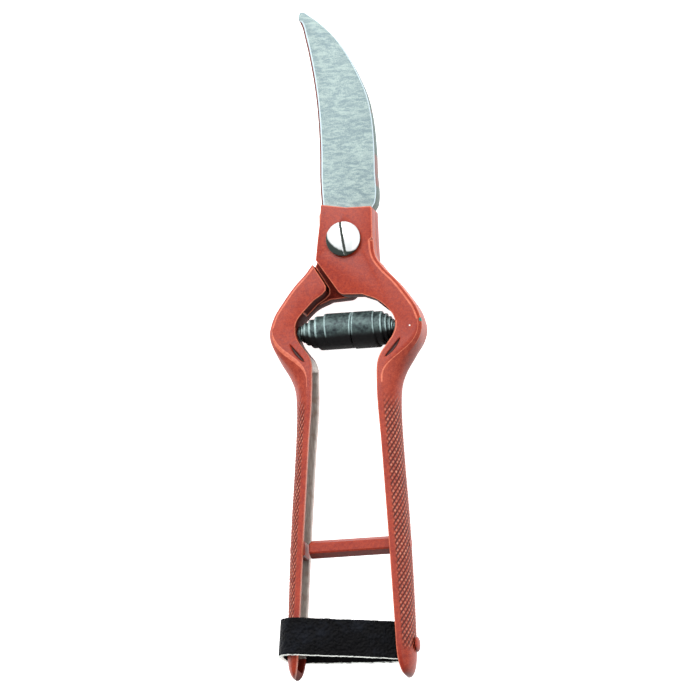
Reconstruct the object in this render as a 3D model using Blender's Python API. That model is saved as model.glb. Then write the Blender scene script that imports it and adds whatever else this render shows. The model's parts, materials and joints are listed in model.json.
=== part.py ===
"""Forged two-handled pruning shears, lying flat and closed.

+X is the right handle's side, +Y runs along the tool to the blade's tip and +Z is up.
The pivot's axis is X = Y = 0, and Z = 0 is the surface that the tool lies on.
Both arms are half-lapped at the pivot. Each is modelled as the right-hand, front arm in its
own frame, whose Z = 0 is the lap's plane, and the counter arm is then turned over about Y.
"""

import math

import bmesh
import bpy
from mathutils import Matrix, Vector

MM = 0.001

# Heights
LAP_PLANE_Z = 8.6 * MM  # the plane where the two arms meet, above the surface below
ARM_HALF_THICKNESS = 5.0 * MM
LAP_GAP = 0.3 * MM
FIT_GAP = 0.3 * MM  # between pieces that touch on the real tool
RUNNING_GAP = 0.1 * MM  # round the pivot, so that the arm turns on it
EDGE_CHAMFER = 0.3 * MM
SIDE_HOLE_START_X = 14.0 * MM  # holes through a handle's side run from its channel
SIDE_HOLE_END_X = 26.0 * MM  # to past its outer face

# Pivot
SHANK_RADIUS = 3.5 * MM
HEAD_RADIUS = 5.9 * MM
HEAD_EDGE_HEIGHT = 0.9 * MM
HEAD_HEIGHT = 2.0 * MM
SLOT_WIDTH = 1.5 * MM
SLOT_DEPTH = 1.2 * MM
SLOT_TURN = math.radians(9)
WASHER_THICKNESS = 0.6 * MM
WASHER_RADIUS = 5.6 * MM
WASHER_SPLIT = 0.8 * MM
NUT_ACROSS_FLATS = 11.0 * MM
NUT_FACE_WALL = 1.0 * MM

# Plate: the flat round the pivot. Each pair is X and Y.
PLATE_TOP = 11.6 * MM
PLATE_LEFT_EDGE = ((-7.9, 11.6), (-8.4, 6.0), (-9.2, 0.0), (-9.9, -6.5))
COUNTER_PLATE_LEFT_EDGE = ((-9.5, 11.6), (-9.6, 6.0), (-9.8, 0.0), (-10.2, -6.5))
PLATE_CORNER = (-1.4, -19.0)
PLATE_CORNER_RADIUS = 1.6 * MM
BOW_FIRST_Y = -19.3 * MM  # where the bow's inner edge leaves the plate's lower edge

# The bow and the handle below it: X of the edge at a height Y, in millimetres.
BOW_BREAK_Y = -29.0 * MM  # the flat bow above meets the rounded arm below
INNER_EDGE = (
    (-17.0, 2.0), (-19.3, 6.1), (-21.3, 10.9), (-24.0, 14.2), (-27.0, 16.6), (-30.2, 17.35),
    (-33.4, 16.6), (-36.5, 14.6), (-39.5, 12.4), (-42.5, 11.2), (-46.0, 10.85), (-56.0, 11.1),
    (-70.0, 12.2), (-85.0, 13.2), (-105.0, 14.5), (-124.0, 15.6), (-138.0, 16.4), (-152.0, 17.0),
)
OUTER_EDGE = (
    (5.0, 9.75), (-1.0, 9.9), (-6.2, 10.7), (-10.4, 13.5), (-14.6, 17.5), (-20.1, 21.7),
    (-25.0, 24.8), (-30.5, 26.3), (-35.5, 25.5), (-40.6, 23.1), (-45.5, 20.2), (-50.0, 18.5),
    (-56.0, 18.0), (-65.0, 18.2), (-78.0, 19.0), (-97.0, 20.35), (-124.0, 21.6), (-152.0, 22.4),
)
HANDLE_HALF_DEPTH = 6.2 * MM
HANDLE_DEEP_FROM_Y = -58.0 * MM
RIM_LAND = 1.9 * MM
SIDE_ROUND_FROM_Y = -30.0 * MM
SIDE_ROUND_FULL_Y = -47.0 * MM
TIP_FROM_Y = -138.0 * MM
TIP_Y = -150.3 * MM
TIP_X = 19.2 * MM
UNION_INSET = 0.05 * MM  # keeps the rounded arm's faces off the flat bow's where they overlap
SIDE_STEPS = 10

# Channel in each handle
WALL = 2.0 * MM
CHANNEL_TOP_Y = -43.5 * MM
CHANNEL_END_Y = -147.6 * MM

# Shoulder of the lap: what is cut away from the arm's rear half. X and Y, in millimetres.
SHOULDER = (
    (16.7, 1.2), (6.35, -15.6), (6.5, -17.2), (7.7, -18.5), (10.6, -20.3), (14.4, -24.1),
)

# Blades: X and Y of the outline, and whether the outline turns a corner there.
BLADE_ROOT_HEIGHT = 3.3 * MM
BLADE_TIP_HEIGHT = 1.7 * MM
BLADE_TIP_Y = 80.4 * MM
BLADE = (
    (-7.6, 4.0, True), (-7.9, 12.4, False), (-8.05, 20.0, False), (-8.0, 32.0, False),
    (-8.5, 43.0, False), (-9.5, 53.0, False), (-11.6, 65.0, False), (-13.8, 74.0, False),
    (-15.2, 79.8, False), (-14.4, 80.4, False), (-12.0, 79.0, False), (-7.2, 75.1, False),
    (-2.6, 70.1, False), (1.6, 63.6, False), (5.0, 57.0, False), (7.8, 50.0, False),
    (9.4, 42.6, False), (10.2, 34.0, False), (10.45, 24.0, False), (10.3, 12.6, False),
    (9.4, 4.0, True),
)
COUNTER_BLADE_INSET = 0.3 * MM

# Spring between the bows
SPRING_Y = -30.4 * MM
SPRING_STEPS = ((8.0, 6.5), (11.2, 5.9), (13.2, 5.0), (14.8, 3.9), (15.8, 2.9))
SPRING_BORE_RADIUS = 2.2 * MM
PEG_RADIUS = 1.8 * MM
PEG_SHOULDER_RADIUS = 2.6 * MM
PEG_TIP_X = 12.0 * MM
PEG_SHOULDER_X = (16.1 * MM, 16.7 * MM)
PEG_SHANK_RADIUS = 1.5 * MM
PEG_END_X = 20.6 * MM

# Stop between the handles
STOP_Y = -104.8 * MM
STOP_CORNER_RADIUS = 3.2 * MM
STOP_END_X = -13.9 * MM
STOP_ROOT_X = 18.2 * MM
TENON_RADIUS = 1.6 * MM
TENON_END_X = 20.7 * MM
LANDING_FACE_X = -15.2 * MM
LANDING_SIZE_Y = 5.4 * MM
LANDING_SIZE_Z = 7.6 * MM

# Strap that holds the handles closed
STRAP_WIDTH = 12.7 * MM
STRAP_THICKNESS = 1.8 * MM
STRAP_CENTRE_Y = -137.6 * MM
STRAP_TURN = math.radians(-4.3)
STRAP_LEFT_X = -24.6 * MM
STRAP_RIGHT_X = 18.6 * MM
STRAP_HALF_HEIGHT = 8.6 * MM
STRAP_END_HALF_HEIGHT = 3.7 * MM
STRAP_BEND_X = -18.0 * MM  # the band starts to turn round the left handle
STRAP_END_LENGTH = 4.2 * MM  # its flat end inside the right handle's channel
STRAP_END_ROUND = 1.2 * MM
RIVET_Y = -139.4 * MM
RIVET_SHANK_RADIUS = 1.1 * MM
RIVET_HEAD_RADIUS = 2.6 * MM
RIVET_HEAD_HEIGHT = 0.9 * MM
RIVET_INNER_X = 15.3 * MM
BURR_RADIUS = 1.6 * MM
BURR_THICKNESS = 0.5 * MM

ROUND_STEPS = 48


def clear_scene():
    for obj in list(bpy.data.objects):
        bpy.data.objects.remove(obj, do_unlink=True)


def collection_named(name, hidden=False):
    made = bpy.data.collections.new(name)
    bpy.context.scene.collection.children.link(made)
    made.hide_render = hidden
    return made


clear_scene()
PARTS = collection_named("pruning_shears")
CUTTERS = collection_named("cutters", hidden=True)


def material_named(name, colour, roughness, metallic):
    made = bpy.data.materials.new(name)
    made.use_nodes = True
    shader = made.node_tree.nodes["Principled BSDF"]
    shader.inputs["Base Color"].default_value = (*colour, 1.0)
    shader.inputs["Roughness"].default_value = roughness
    shader.inputs["Metallic"].default_value = metallic
    made.diffuse_color = (*colour, 1.0)
    return made


ENAMEL = (0.56, 0.10, 0.055)
BRIGHT_STEEL = (0.62, 0.66, 0.66)
DARK_STEEL = (0.05, 0.06, 0.07)
BLACK_LEATHER = (0.012, 0.012, 0.014)
BRASS = (0.55, 0.40, 0.16)


def object_from(mesh, name, collection):
    obj = bpy.data.objects.new(name, mesh)
    collection.objects.link(obj)
    if collection is CUTTERS:
        obj.hide_render = True
        obj.display_type = "WIRE"
    return obj


def mesh_from(bm, name):
    bmesh.ops.recalc_face_normals(bm, faces=bm.faces)
    mesh = bpy.data.meshes.new(name)
    bm.to_mesh(mesh)
    bm.free()
    return mesh


def finish(obj, colour, roughness, metallic):
    obj.data.materials.clear()
    obj.data.materials.append(material_named(obj.name, colour, roughness, metallic))


def combine(obj, other, operation):
    """Applies one exact Boolean to obj and leaves the other mesh among the cutters."""
    modifier = obj.modifiers.new(operation.lower(), "BOOLEAN")
    modifier.operation = operation
    modifier.solver = "EXACT"
    modifier.object = other
    bpy.context.view_layer.update()
    graph = bpy.context.evaluated_depsgraph_get()
    result = bpy.data.meshes.new_from_object(obj.evaluated_get(graph))
    obj.modifiers.clear()
    obj.data = result


def through_points(table, at):
    """A smooth curve through (place, value) pairs in millimetres, read at a place in metres."""
    place = at / MM
    last = len(table) - 2
    index = 0
    while index < last and table[index + 1][0] > place:
        index += 1
    (y0, x0), (y1, x1) = table[index], table[index + 1]
    before = table[max(index - 1, 0)]
    after = table[min(index + 2, last + 1)]
    slope0 = (x1 - before[1]) / (y1 - before[0])
    slope1 = (after[1] - x0) / (after[0] - y0)
    span = y1 - y0
    t = min(max((place - y0) / span, 0.0), 1.0)
    value = (2 * t**3 - 3 * t**2 + 1) * x0 + (t**3 - 2 * t**2 + t) * span * slope0
    value += (3 * t**2 - 2 * t**3) * x1 + (t**3 - t**2) * span * slope1
    return value * MM


def smooth_step(value):
    t = min(max(value, 0.0), 1.0)
    return t * t * (3 - 2 * t)


def flat_solid(name, outline, low, high, collection, edge=0.0):
    """A closed outline of (x, y) points made solid between two heights, with its edge eased."""
    curve = bpy.data.curves.new(name, "CURVE")
    curve.dimensions = "2D"
    curve.fill_mode = "BOTH"
    spline = curve.splines.new("POLY")
    spline.points.add(len(outline) - 1)
    for point, (x, y) in zip(spline.points, outline):
        point.co = (x, y, 0.0, 1.0)
    spline.use_cyclic_u = True
    return solid_from_curve(curve, name, low, high, collection, edge)


def solid_from_curve(curve, name, low, high, collection, edge=0.0):
    curve.extrude = (high - low) / 2 - edge
    curve.bevel_depth = edge
    curve.bevel_resolution = 0
    curve.offset = -edge
    maker = bpy.data.objects.new(name + "_outline", curve)
    CUTTERS.objects.link(maker)
    bpy.context.view_layer.update()
    graph = bpy.context.evaluated_depsgraph_get()
    mesh = bpy.data.meshes.new_from_object(maker.evaluated_get(graph))
    bpy.data.objects.remove(maker, do_unlink=True)
    bm = bmesh.new()
    bm.from_mesh(mesh)
    bmesh.ops.remove_doubles(bm, verts=bm.verts, dist=0.001 * MM)
    bmesh.ops.translate(bm, verts=bm.verts, vec=(0, 0, (low + high) / 2))
    bpy.data.meshes.remove(mesh)
    return object_from(mesh_from(bm, name), name, collection)


def blade_curve(name, side, inset):
    """The blade's outline as a smooth closed curve; side -1 mirrors it left to right."""
    curve = bpy.data.curves.new(name, "CURVE")
    curve.dimensions = "2D"
    curve.fill_mode = "BOTH"
    curve.resolution_u = 4
    spline = curve.splines.new("BEZIER")
    spline.bezier_points.add(len(BLADE) - 1)
    middle = Vector((-1.0, 40.0))
    for point, (x, y, corner) in zip(spline.bezier_points, BLADE):
        inward = (middle - Vector((x, y))).normalized() * inset / MM
        place = (Vector((x, y)) + inward) * MM
        point.co = (place.x * side, place.y, 0.0)
        handle = "VECTOR" if corner else "AUTO"
        point.handle_left_type = handle
        point.handle_right_type = handle
    spline.use_cyclic_u = True
    return curve


def blade(name, side, inset):
    """The blade's block, reaching below the lap's plane, whose front thins evenly to the tip."""
    curve = blade_curve(name, side, inset)
    solid = solid_from_curve(curve, name, -1.0 * MM, BLADE_ROOT_HEIGHT, CUTTERS)
    slope = (BLADE_TIP_HEIGHT - BLADE_ROOT_HEIGHT) / (BLADE_TIP_Y - PLATE_TOP)
    for vertex in solid.data.vertices:
        if vertex.co.z > 0:
            vertex.co.z += slope * (vertex.co.y - PLATE_TOP)
    return solid


def loft(name, rings, collection):
    """Joins rings of equal length by faces and closes both ends."""
    bm = bmesh.new()
    made = [[bm.verts.new(point) for point in ring] for ring in rings]
    count = len(made[0])
    for one, two in zip(made, made[1:]):
        for index in range(count):
            after = (index + 1) % count
            bm.faces.new((one[index], one[after], two[after], two[index]))
    bm.faces.new(made[0])
    bm.faces.new(reversed(made[-1]))
    return object_from(mesh_from(bm, name), name, collection)


def handle_edges(y):
    """Inner edge, outer edge and half depth of the arm at a height y, rounded off at its tip."""
    inner = through_points(INNER_EDGE, y)
    outer = through_points(OUTER_EDGE, y)
    deeper = smooth_step((BOW_BREAK_Y - y) / (BOW_BREAK_Y - HANDLE_DEEP_FROM_Y))
    depth = ARM_HALF_THICKNESS + (HANDLE_HALF_DEPTH - ARM_HALF_THICKNESS) * deeper
    if y < TIP_FROM_Y:
        along = min((TIP_FROM_Y - y) / (TIP_FROM_Y - TIP_Y), 0.998)
        left = math.sqrt(1 - along**2)
        inner = TIP_X + (inner - TIP_X) * left
        outer = TIP_X + (outer - TIP_X) * left
        depth *= left**0.7
    return inner, outer, depth


def arm_section(y):
    """The arm's section: a flat land each side of the rim, and a side that is round outside."""
    inner, outer, depth = handle_edges(y)
    inner += UNION_INSET
    outer -= UNION_INSET
    depth -= UNION_INSET
    width = outer - inner
    rounded = smooth_step((SIDE_ROUND_FROM_Y - y) / (SIDE_ROUND_FROM_Y - SIDE_ROUND_FULL_Y))
    land = width - 0.6 * MM + (min(RIM_LAND, width * 0.4) - width + 0.6 * MM) * rounded
    ring = [Vector((inner, y, -depth))]
    for step in range(SIDE_STEPS + 1):
        turn = math.pi * (step / SIDE_STEPS - 0.5)
        x = inner + land + (width - land) * math.cos(turn)
        z = depth * math.copysign(abs(math.sin(turn)) ** (0.25 + 0.75 * rounded), turn)
        ring.append(Vector((x, y, z)))
    ring.append(Vector((inner, y, depth)))
    return ring


def arm_heights():
    """Where the rounded arm's sections stand: close together on the bow and at the tip."""
    heights = [BOW_BREAK_Y + 2.0 * MM - 2.0 * MM * step for step in range(16)]
    heights += [heights[-1] - 8.0 * MM * step for step in range(1, 11)]
    heights = [y for y in heights if y > TIP_FROM_Y]
    steps = 9
    for step in range(steps + 1):
        along = math.sin(math.pi / 2 * step / steps)
        heights.append(TIP_FROM_Y + (TIP_Y - TIP_FROM_Y) * along)
    return heights


def channel_section(y):
    inner, outer, depth = handle_edges(y)
    far = outer - WALL
    half = max(depth - WALL, 0.3 * MM)
    far = max(far, inner + 0.4 * MM)
    soft = 0.3 * half
    near = inner - 4.0 * MM
    return [
        Vector((near, y, -half)), Vector((far - soft, y, -half)), Vector((far, y, -half + soft)),
        Vector((far, y, half - soft)), Vector((far - soft, y, half)), Vector((near, y, half)),
    ]


def channel_cutter(name):
    """The open channel: its top end slants inwards and its bottom end follows the tip."""
    heights = [CHANNEL_TOP_Y - 10.0 * MM * step for step in range(10)]
    steps = 6
    for step in range(steps + 1):
        along = math.sin(math.pi / 2 * step / steps)
        heights.append(TIP_FROM_Y + (CHANNEL_END_Y - TIP_FROM_Y) * along)
    rings = [channel_section(y) for y in heights]
    for index, point in enumerate(rings[0]):
        far_side = index in (1, 2, 3, 4)
        point.y -= 2.5 * MM if far_side else 0.0
    return loft(name, rings, CUTTERS)


def bow_outline(left_edge):
    """Plate and upper bow of the front arm, from the plate's top round to the bow's break."""
    outline = [Vector((x, y)) * MM for x, y in left_edge]
    corner = Vector(PLATE_CORNER) * MM
    towards = (outline[-1] - corner).normalized() * PLATE_CORNER_RADIUS
    onward = Vector((PLATE_CORNER_RADIUS, 0.0))
    for step in range(5):
        t = step / 4
        outline.append(corner + towards * (1 - t) ** 2 + onward * t**2)
    rows = 9
    for step in range(rows + 1):
        y = BOW_FIRST_Y + (BOW_BREAK_Y - BOW_FIRST_Y) * step / rows
        outline.append(Vector((through_points(INNER_EDGE, y), y)))
    rows = 16
    for step in range(rows + 1):
        y = BOW_BREAK_Y * (1 - step / rows)
        outline.append(Vector((through_points(OUTER_EDGE, y), y)))
    outline.append(Vector((9.75 * MM, PLATE_TOP - 1.0 * MM)))
    outline.append(Vector((8.8 * MM, PLATE_TOP)))
    outline.append(Vector((1.0 * MM, PLATE_TOP - 0.4 * MM)))
    return outline


def lap_outline():
    """What the other arm's plate needs: all of this arm's rear half above its shoulder."""
    outline = [Vector((x, y)) * MM for x, y in SHOULDER]
    outline += [Vector((14.4, -30.0)) * MM, Vector((-30.0, -30.0)) * MM]
    outline += [Vector((-30.0, 95.0)) * MM, Vector((16.7, 95.0)) * MM]
    return outline


def rod(name, radius, start, end, collection, steps=ROUND_STEPS):
    """A cylinder from start to end."""
    bm = bmesh.new()
    start = Vector(start)
    axis = Vector(end) - start
    bmesh.ops.create_cone(
        bm, cap_ends=True, segments=steps, radius1=radius, radius2=radius, depth=axis.length
    )
    turn = Vector((0, 0, 1)).rotation_difference(axis).to_matrix().to_4x4()
    bmesh.ops.transform(bm, verts=bm.verts, matrix=Matrix.Translation(start + axis / 2) @ turn)
    return object_from(mesh_from(bm, name), name, collection)


def turned(name, profile, collection, steps=ROUND_STEPS):
    """A closed profile of (radius, height) points spun about Z."""
    bm = bmesh.new()
    ring = [bm.verts.new((max(radius, 0.0), 0.0, height)) for radius, height in profile]
    edges = [bm.edges.new(pair) for pair in zip(ring, ring[1:])]
    closed = profile[0][0] > 0 and profile[-1][0] > 0
    if closed:
        edges.append(bm.edges.new((ring[-1], ring[0])))
    bmesh.ops.spin(
        bm, geom=ring + edges, cent=(0, 0, 0), axis=(0, 0, 1), angle=2 * math.pi,
        steps=steps, use_merge=True,
    )
    bmesh.ops.remove_doubles(bm, verts=bm.verts, dist=0.001 * MM)
    return object_from(mesh_from(bm, name), name, collection)


def arm(name, left_edge, blade_side, blade_inset):
    """One arm as forged: blade, lapped plate, bow and channelled handle in one piece."""
    outline = bow_outline(left_edge)
    body = flat_solid(
        name, outline, -ARM_HALF_THICKNESS, ARM_HALF_THICKNESS, PARTS, edge=EDGE_CHAMFER
    )
    rounded = loft(name + "_lower", [arm_section(y) for y in arm_heights()], CUTTERS)
    combine(body, rounded, "UNION")
    combine(body, blade(name + "_blade", blade_side, blade_inset), "UNION")
    lap = flat_solid(name + "_lap", lap_outline(), -20.0 * MM, LAP_GAP / 2, CUTTERS)
    combine(body, lap, "DIFFERENCE")
    combine(body, channel_cutter(name + "_channel"), "DIFFERENCE")
    hole = SHANK_RADIUS + RUNNING_GAP
    combine(body, rod(name + "_pivot", hole, (0, 0, -20 * MM), (0, 0, 20 * MM), CUTTERS), "DIFFERENCE")
    peg_start = (SIDE_HOLE_START_X, SPRING_Y, 0)
    peg_end = (PEG_END_X + FIT_GAP, SPRING_Y, 0)
    peg_hole = rod(name + "_peg", PEG_SHANK_RADIUS + FIT_GAP, peg_start, peg_end, CUTTERS, 24)
    combine(body, peg_hole, "DIFFERENCE")
    stop_start = (SIDE_HOLE_START_X, STOP_Y, 0)
    stop_end = (SIDE_HOLE_END_X, STOP_Y, 0)
    stop_hole = rod(name + "_stop", TENON_RADIUS + FIT_GAP, stop_start, stop_end, CUTTERS, 24)
    combine(body, stop_hole, "DIFFERENCE")
    return body


def make_arms(pivot):
    cutting = arm("cutting_arm", PLATE_LEFT_EDGE, 1, 0.0)
    radius = RIVET_SHANK_RADIUS + FIT_GAP
    start = (SIDE_HOLE_START_X, RIVET_Y, 0)
    end = (SIDE_HOLE_END_X, RIVET_Y, 0)
    combine(cutting, rod("strap_rivet_hole", radius, start, end, CUTTERS, 24), "DIFFERENCE")
    cutting.location.z = LAP_PLANE_Z
    finish(cutting, ENAMEL, 0.42, 0.0)
    counter = arm("counter_arm", COUNTER_PLATE_LEFT_EDGE, -1, COUNTER_BLADE_INSET)
    counter.parent = pivot
    counter.rotation_euler.y = math.pi
    finish(counter, ENAMEL, 0.42, 0.0)


def make_pivot_screw():
    under = ARM_HALF_THICKNESS + FIT_GAP
    end = -LAP_PLANE_Z + NUT_FACE_WALL + FIT_GAP
    profile = [(0.0, end), (SHANK_RADIUS, end), (SHANK_RADIUS, under), (HEAD_RADIUS, under)]
    rise = HEAD_HEIGHT - HEAD_EDGE_HEIGHT
    steps = 6
    for step in range(steps + 1):
        turn = math.pi / 2 * step / steps
        height = under + HEAD_EDGE_HEIGHT + rise * math.sin(turn)
        profile.append((HEAD_RADIUS * math.cos(turn), height))
    screw = turned("pivot_screw", profile, PARTS)
    bm = bmesh.new()
    bmesh.ops.create_cube(bm, size=1.0)
    size = Matrix.Diagonal((SLOT_WIDTH, 4 * HEAD_RADIUS, 2 * SLOT_DEPTH, 1.0))
    top = Matrix.Translation((0, 0, under + HEAD_HEIGHT))
    bmesh.ops.transform(bm, verts=bm.verts, matrix=top @ Matrix.Rotation(SLOT_TURN, 4, "Z") @ size)
    slot = object_from(mesh_from(bm, "screw_slot"), "screw_slot", CUTTERS)
    combine(screw, slot, "DIFFERENCE")
    screw.location.z = LAP_PLANE_Z
    finish(screw, BRIGHT_STEEL, 0.18, 1.0)


def make_lock_washer():
    """A split spring washer under the nut."""
    top = LAP_PLANE_Z - ARM_HALF_THICKNESS - FIT_GAP
    low = top - WASHER_THICKNESS
    inner = SHANK_RADIUS + FIT_GAP
    profile = [(inner, low), (WASHER_RADIUS, low), (WASHER_RADIUS, top), (inner, top)]
    washer = turned("lock_washer", profile, PARTS)
    bm = bmesh.new()
    bmesh.ops.create_cube(bm, size=1.0)
    size = Matrix.Diagonal((2 * WASHER_RADIUS, WASHER_SPLIT, 4 * WASHER_THICKNESS, 1.0))
    place = Matrix.Translation((WASHER_RADIUS, 0, (low + top) / 2))
    bmesh.ops.transform(bm, verts=bm.verts, matrix=place @ size)
    split = object_from(mesh_from(bm, "washer_split"), "washer_split", CUTTERS)
    combine(washer, split, "DIFFERENCE")
    finish(washer, BRIGHT_STEEL, 0.35, 1.0)


def make_pivot_nut():
    """A low hexagonal nut, closed at its outer face, on which the tool lies."""
    top = LAP_PLANE_Z - ARM_HALF_THICKNESS - 2 * FIT_GAP - WASHER_THICKNESS
    corner = NUT_ACROSS_FLATS / 2 / math.cos(math.pi / 6)
    nut = rod("pivot_nut", corner, (0, 0, 0), (0, 0, top), PARTS, 6)
    bore = SHANK_RADIUS + RUNNING_GAP
    combine(nut, rod("nut_bore", bore, (0, 0, NUT_FACE_WALL), (0, 0, 2 * top), CUTTERS), "DIFFERENCE")
    finish(nut, BRIGHT_STEEL, 0.32, 1.0)


def make_spring():
    """A plain stepped barrel with a bore: the envelope of the coiled strip."""
    profile = [(SPRING_BORE_RADIUS, -SPRING_STEPS[-1][0] * MM)]
    for half_length, radius in reversed(SPRING_STEPS):
        profile.append((radius * MM, -half_length * MM))
    for half_length, radius in SPRING_STEPS:
        profile.append((radius * MM, half_length * MM))
    profile.append((SPRING_BORE_RADIUS, SPRING_STEPS[-1][0] * MM))
    spring = turned("volute_spring", profile, PARTS)
    spring.rotation_euler.y = math.pi / 2
    spring.location = (0, SPRING_Y, LAP_PLANE_Z)
    finish(spring, DARK_STEEL, 0.4, 0.9)


def make_peg(name, side, pivot):
    """A stud in the bow's inner wall, on which the spring's end sits."""
    near, far = PEG_SHOULDER_X
    profile = [
        (0.0, PEG_TIP_X), (PEG_RADIUS - 0.5 * MM, PEG_TIP_X), (PEG_RADIUS, PEG_TIP_X + 0.5 * MM),
        (PEG_RADIUS, near), (PEG_SHOULDER_RADIUS, near), (PEG_SHOULDER_RADIUS, far),
        (PEG_SHANK_RADIUS, far), (PEG_SHANK_RADIUS, PEG_END_X), (0.0, PEG_END_X),
    ]
    peg = turned(name, profile, PARTS, 24)
    peg.rotation_euler.y = side * math.pi / 2
    peg.location = (0, SPRING_Y, 0)
    if pivot:
        peg.parent = pivot
    else:
        peg.location.z = LAP_PLANE_Z
    finish(peg, DARK_STEEL, 0.45, 0.9)


def make_stop_bar():
    """A hexagonal bar across the gap, held by a tenon riveted through the right handle."""
    start = (STOP_END_X, STOP_Y, 0)
    end = (STOP_ROOT_X, STOP_Y, 0)
    bar = rod("stop_bar", STOP_CORNER_RADIUS, start, end, PARTS, 6)
    chamfer_all_edges(bar, 0.35 * MM)
    tenon_start = (STOP_ROOT_X - 1.0 * MM, STOP_Y, 0)
    tenon_end = (TENON_END_X, STOP_Y, 0)
    combine(bar, rod("stop_tenon", TENON_RADIUS, tenon_start, tenon_end, CUTTERS, 24), "UNION")
    bar.location.z = LAP_PLANE_Z
    finish(bar, ENAMEL, 0.42, 0.0)


def chamfer_all_edges(obj, width):
    """Chamfers every edge of a plain block."""
    bm = bmesh.new()
    bm.from_mesh(obj.data)
    bmesh.ops.bevel(
        bm, geom=bm.edges[:], offset=width, segments=1, profile=0.5, affect="EDGES", material=-1
    )
    bm.to_mesh(obj.data)
    bm.free()


def make_stop_landing(pivot):
    """The block in the left handle's channel that the bar's end lands on."""
    size_x = STOP_ROOT_X + LANDING_FACE_X
    bm = bmesh.new()
    bmesh.ops.create_cube(bm, size=1.0)
    size = Matrix.Diagonal((size_x, LANDING_SIZE_Y, LANDING_SIZE_Z, 1.0))
    place = Matrix.Translation((LANDING_FACE_X - size_x / 2, STOP_Y, 0))
    bmesh.ops.transform(bm, verts=bm.verts, matrix=place @ size)
    landing = object_from(mesh_from(bm, "stop_landing"), "stop_landing", PARTS)
    chamfer_all_edges(landing, 0.4 * MM)
    start = (-STOP_ROOT_X + 1.0 * MM, STOP_Y, 0)
    end = (-TENON_END_X, STOP_Y, 0)
    combine(landing, rod("landing_tenon", TENON_RADIUS, start, end, CUTTERS, 24), "UNION")
    landing.parent = pivot
    finish(landing, ENAMEL, 0.42, 0.0)


def strap_loop(shrink):
    """One loop of the strap's edge in its own (x, height) plane, inset by shrink."""
    left = STRAP_LEFT_X + shrink
    right = STRAP_RIGHT_X - shrink
    tall = STRAP_HALF_HEIGHT - shrink
    small = STRAP_END_HALF_HEIGHT - shrink
    loop = []
    steps = 12
    for step in range(steps + 1):
        turn = math.pi * (0.5 + step / steps)
        sideways = math.copysign(abs(math.cos(turn)) ** 0.8, math.cos(turn))
        x = STRAP_BEND_X + (STRAP_BEND_X - left) * sideways
        loop.append((x, tall * math.sin(turn)))
    corner = max(STRAP_END_ROUND - shrink, 0.2 * MM)
    slope_x = right - STRAP_END_LENGTH
    loop += [(slope_x, -small), (right - corner, -small), (right, -small + corner)]
    loop += [(right, small - corner), (right - corner, small), (slope_x, small)]
    return loop


def make_strap():
    """A closed leather band, as wide as it is tall at rest, from channel to channel."""
    curve = bpy.data.curves.new("strap", "CURVE")
    curve.dimensions = "2D"
    curve.fill_mode = "BOTH"
    for shrink in (0.0, STRAP_THICKNESS):
        loop = strap_loop(shrink)
        spline = curve.splines.new("POLY")
        spline.points.add(len(loop) - 1)
        for point, (x, height) in zip(spline.points, loop):
            point.co = (x, height, 0.0, 1.0)
        spline.use_cyclic_u = True
    half = STRAP_WIDTH / 2
    strap = solid_from_curve(curve, "strap", -half, half, PARTS)
    upright = Matrix.Rotation(math.pi / 2, 4, "X")
    leaning = Matrix.Rotation(STRAP_TURN, 4, "Z")
    place = Matrix.Translation((0, STRAP_CENTRE_Y, 0))
    strap.data.transform(place @ leaning @ upright)
    start = (SIDE_HOLE_START_X, RIVET_Y, 0)
    end = (SIDE_HOLE_END_X, RIVET_Y, 0)
    hole = rod("strap_hole", RIVET_SHANK_RADIUS + FIT_GAP, start, end, CUTTERS, 24)
    combine(strap, hole, "DIFFERENCE")
    strap.location.z = LAP_PLANE_Z
    finish(strap, BLACK_LEATHER, 0.6, 0.0)


def make_strap_rivet():
    """A domed rivet through the right handle and the strap's end, and the burr inside it."""
    outside = through_points(OUTER_EDGE, RIVET_Y) + FIT_GAP
    profile = [
        (0.0, RIVET_INNER_X), (RIVET_SHANK_RADIUS, RIVET_INNER_X), (RIVET_SHANK_RADIUS, outside),
        (RIVET_HEAD_RADIUS, outside),
    ]
    steps = 4
    for step in range(1, steps + 1):
        turn = math.pi / 2 * step / steps
        height = outside + RIVET_HEAD_HEIGHT * math.sin(turn)
        profile.append((RIVET_HEAD_RADIUS * math.cos(turn), height))
    rivet = turned("strap_rivet", profile, PARTS, 24)
    rivet.rotation_euler.y = math.pi / 2
    rivet.location = (0, RIVET_Y, LAP_PLANE_Z)
    finish(rivet, BRASS, 0.4, 1.0)
    high = RIVET_INNER_X + 0.2 * MM + BURR_THICKNESS
    low = RIVET_INNER_X + 0.2 * MM
    inner = RIVET_SHANK_RADIUS + RUNNING_GAP
    ring = [(inner, low), (BURR_RADIUS, low), (BURR_RADIUS, high), (inner, high)]
    burr = turned("strap_rivet_burr", ring, PARTS, 24)
    burr.rotation_euler.y = math.pi / 2
    burr.location = (0, RIVET_Y, LAP_PLANE_Z)
    finish(burr, BRASS, 0.4, 1.0)


def main():
    pivot = bpy.data.objects.new("counter_arm_pivot", None)
    PARTS.objects.link(pivot)
    pivot.location.z = LAP_PLANE_Z
    make_arms(pivot)
    make_pivot_screw()
    make_lock_washer()
    make_pivot_nut()
    make_spring()
    make_peg("right_spring_peg", 1, None)
    make_peg("left_spring_peg", -1, pivot)
    make_stop_bar()
    make_stop_landing(pivot)
    make_strap()
    make_strap_rivet()


main()
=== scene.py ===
# %% [markdown]
# # Forged pruning shears
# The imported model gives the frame: which pieces there are, where they lie and what moves them.
# This lesson keeps that frame and makes each piece as it looks on the bench: enamelled forgings,
# ground blades, a coiled strip spring, and a leather strap.
# The tool lies on its back. X runs to the right handle, Y runs to the blade's tip and Z is up.

# %% The frame
import json
import math

import bmesh
import bpy
from mathutils import Matrix, Vector
from mathutils.noise import noise


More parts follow.
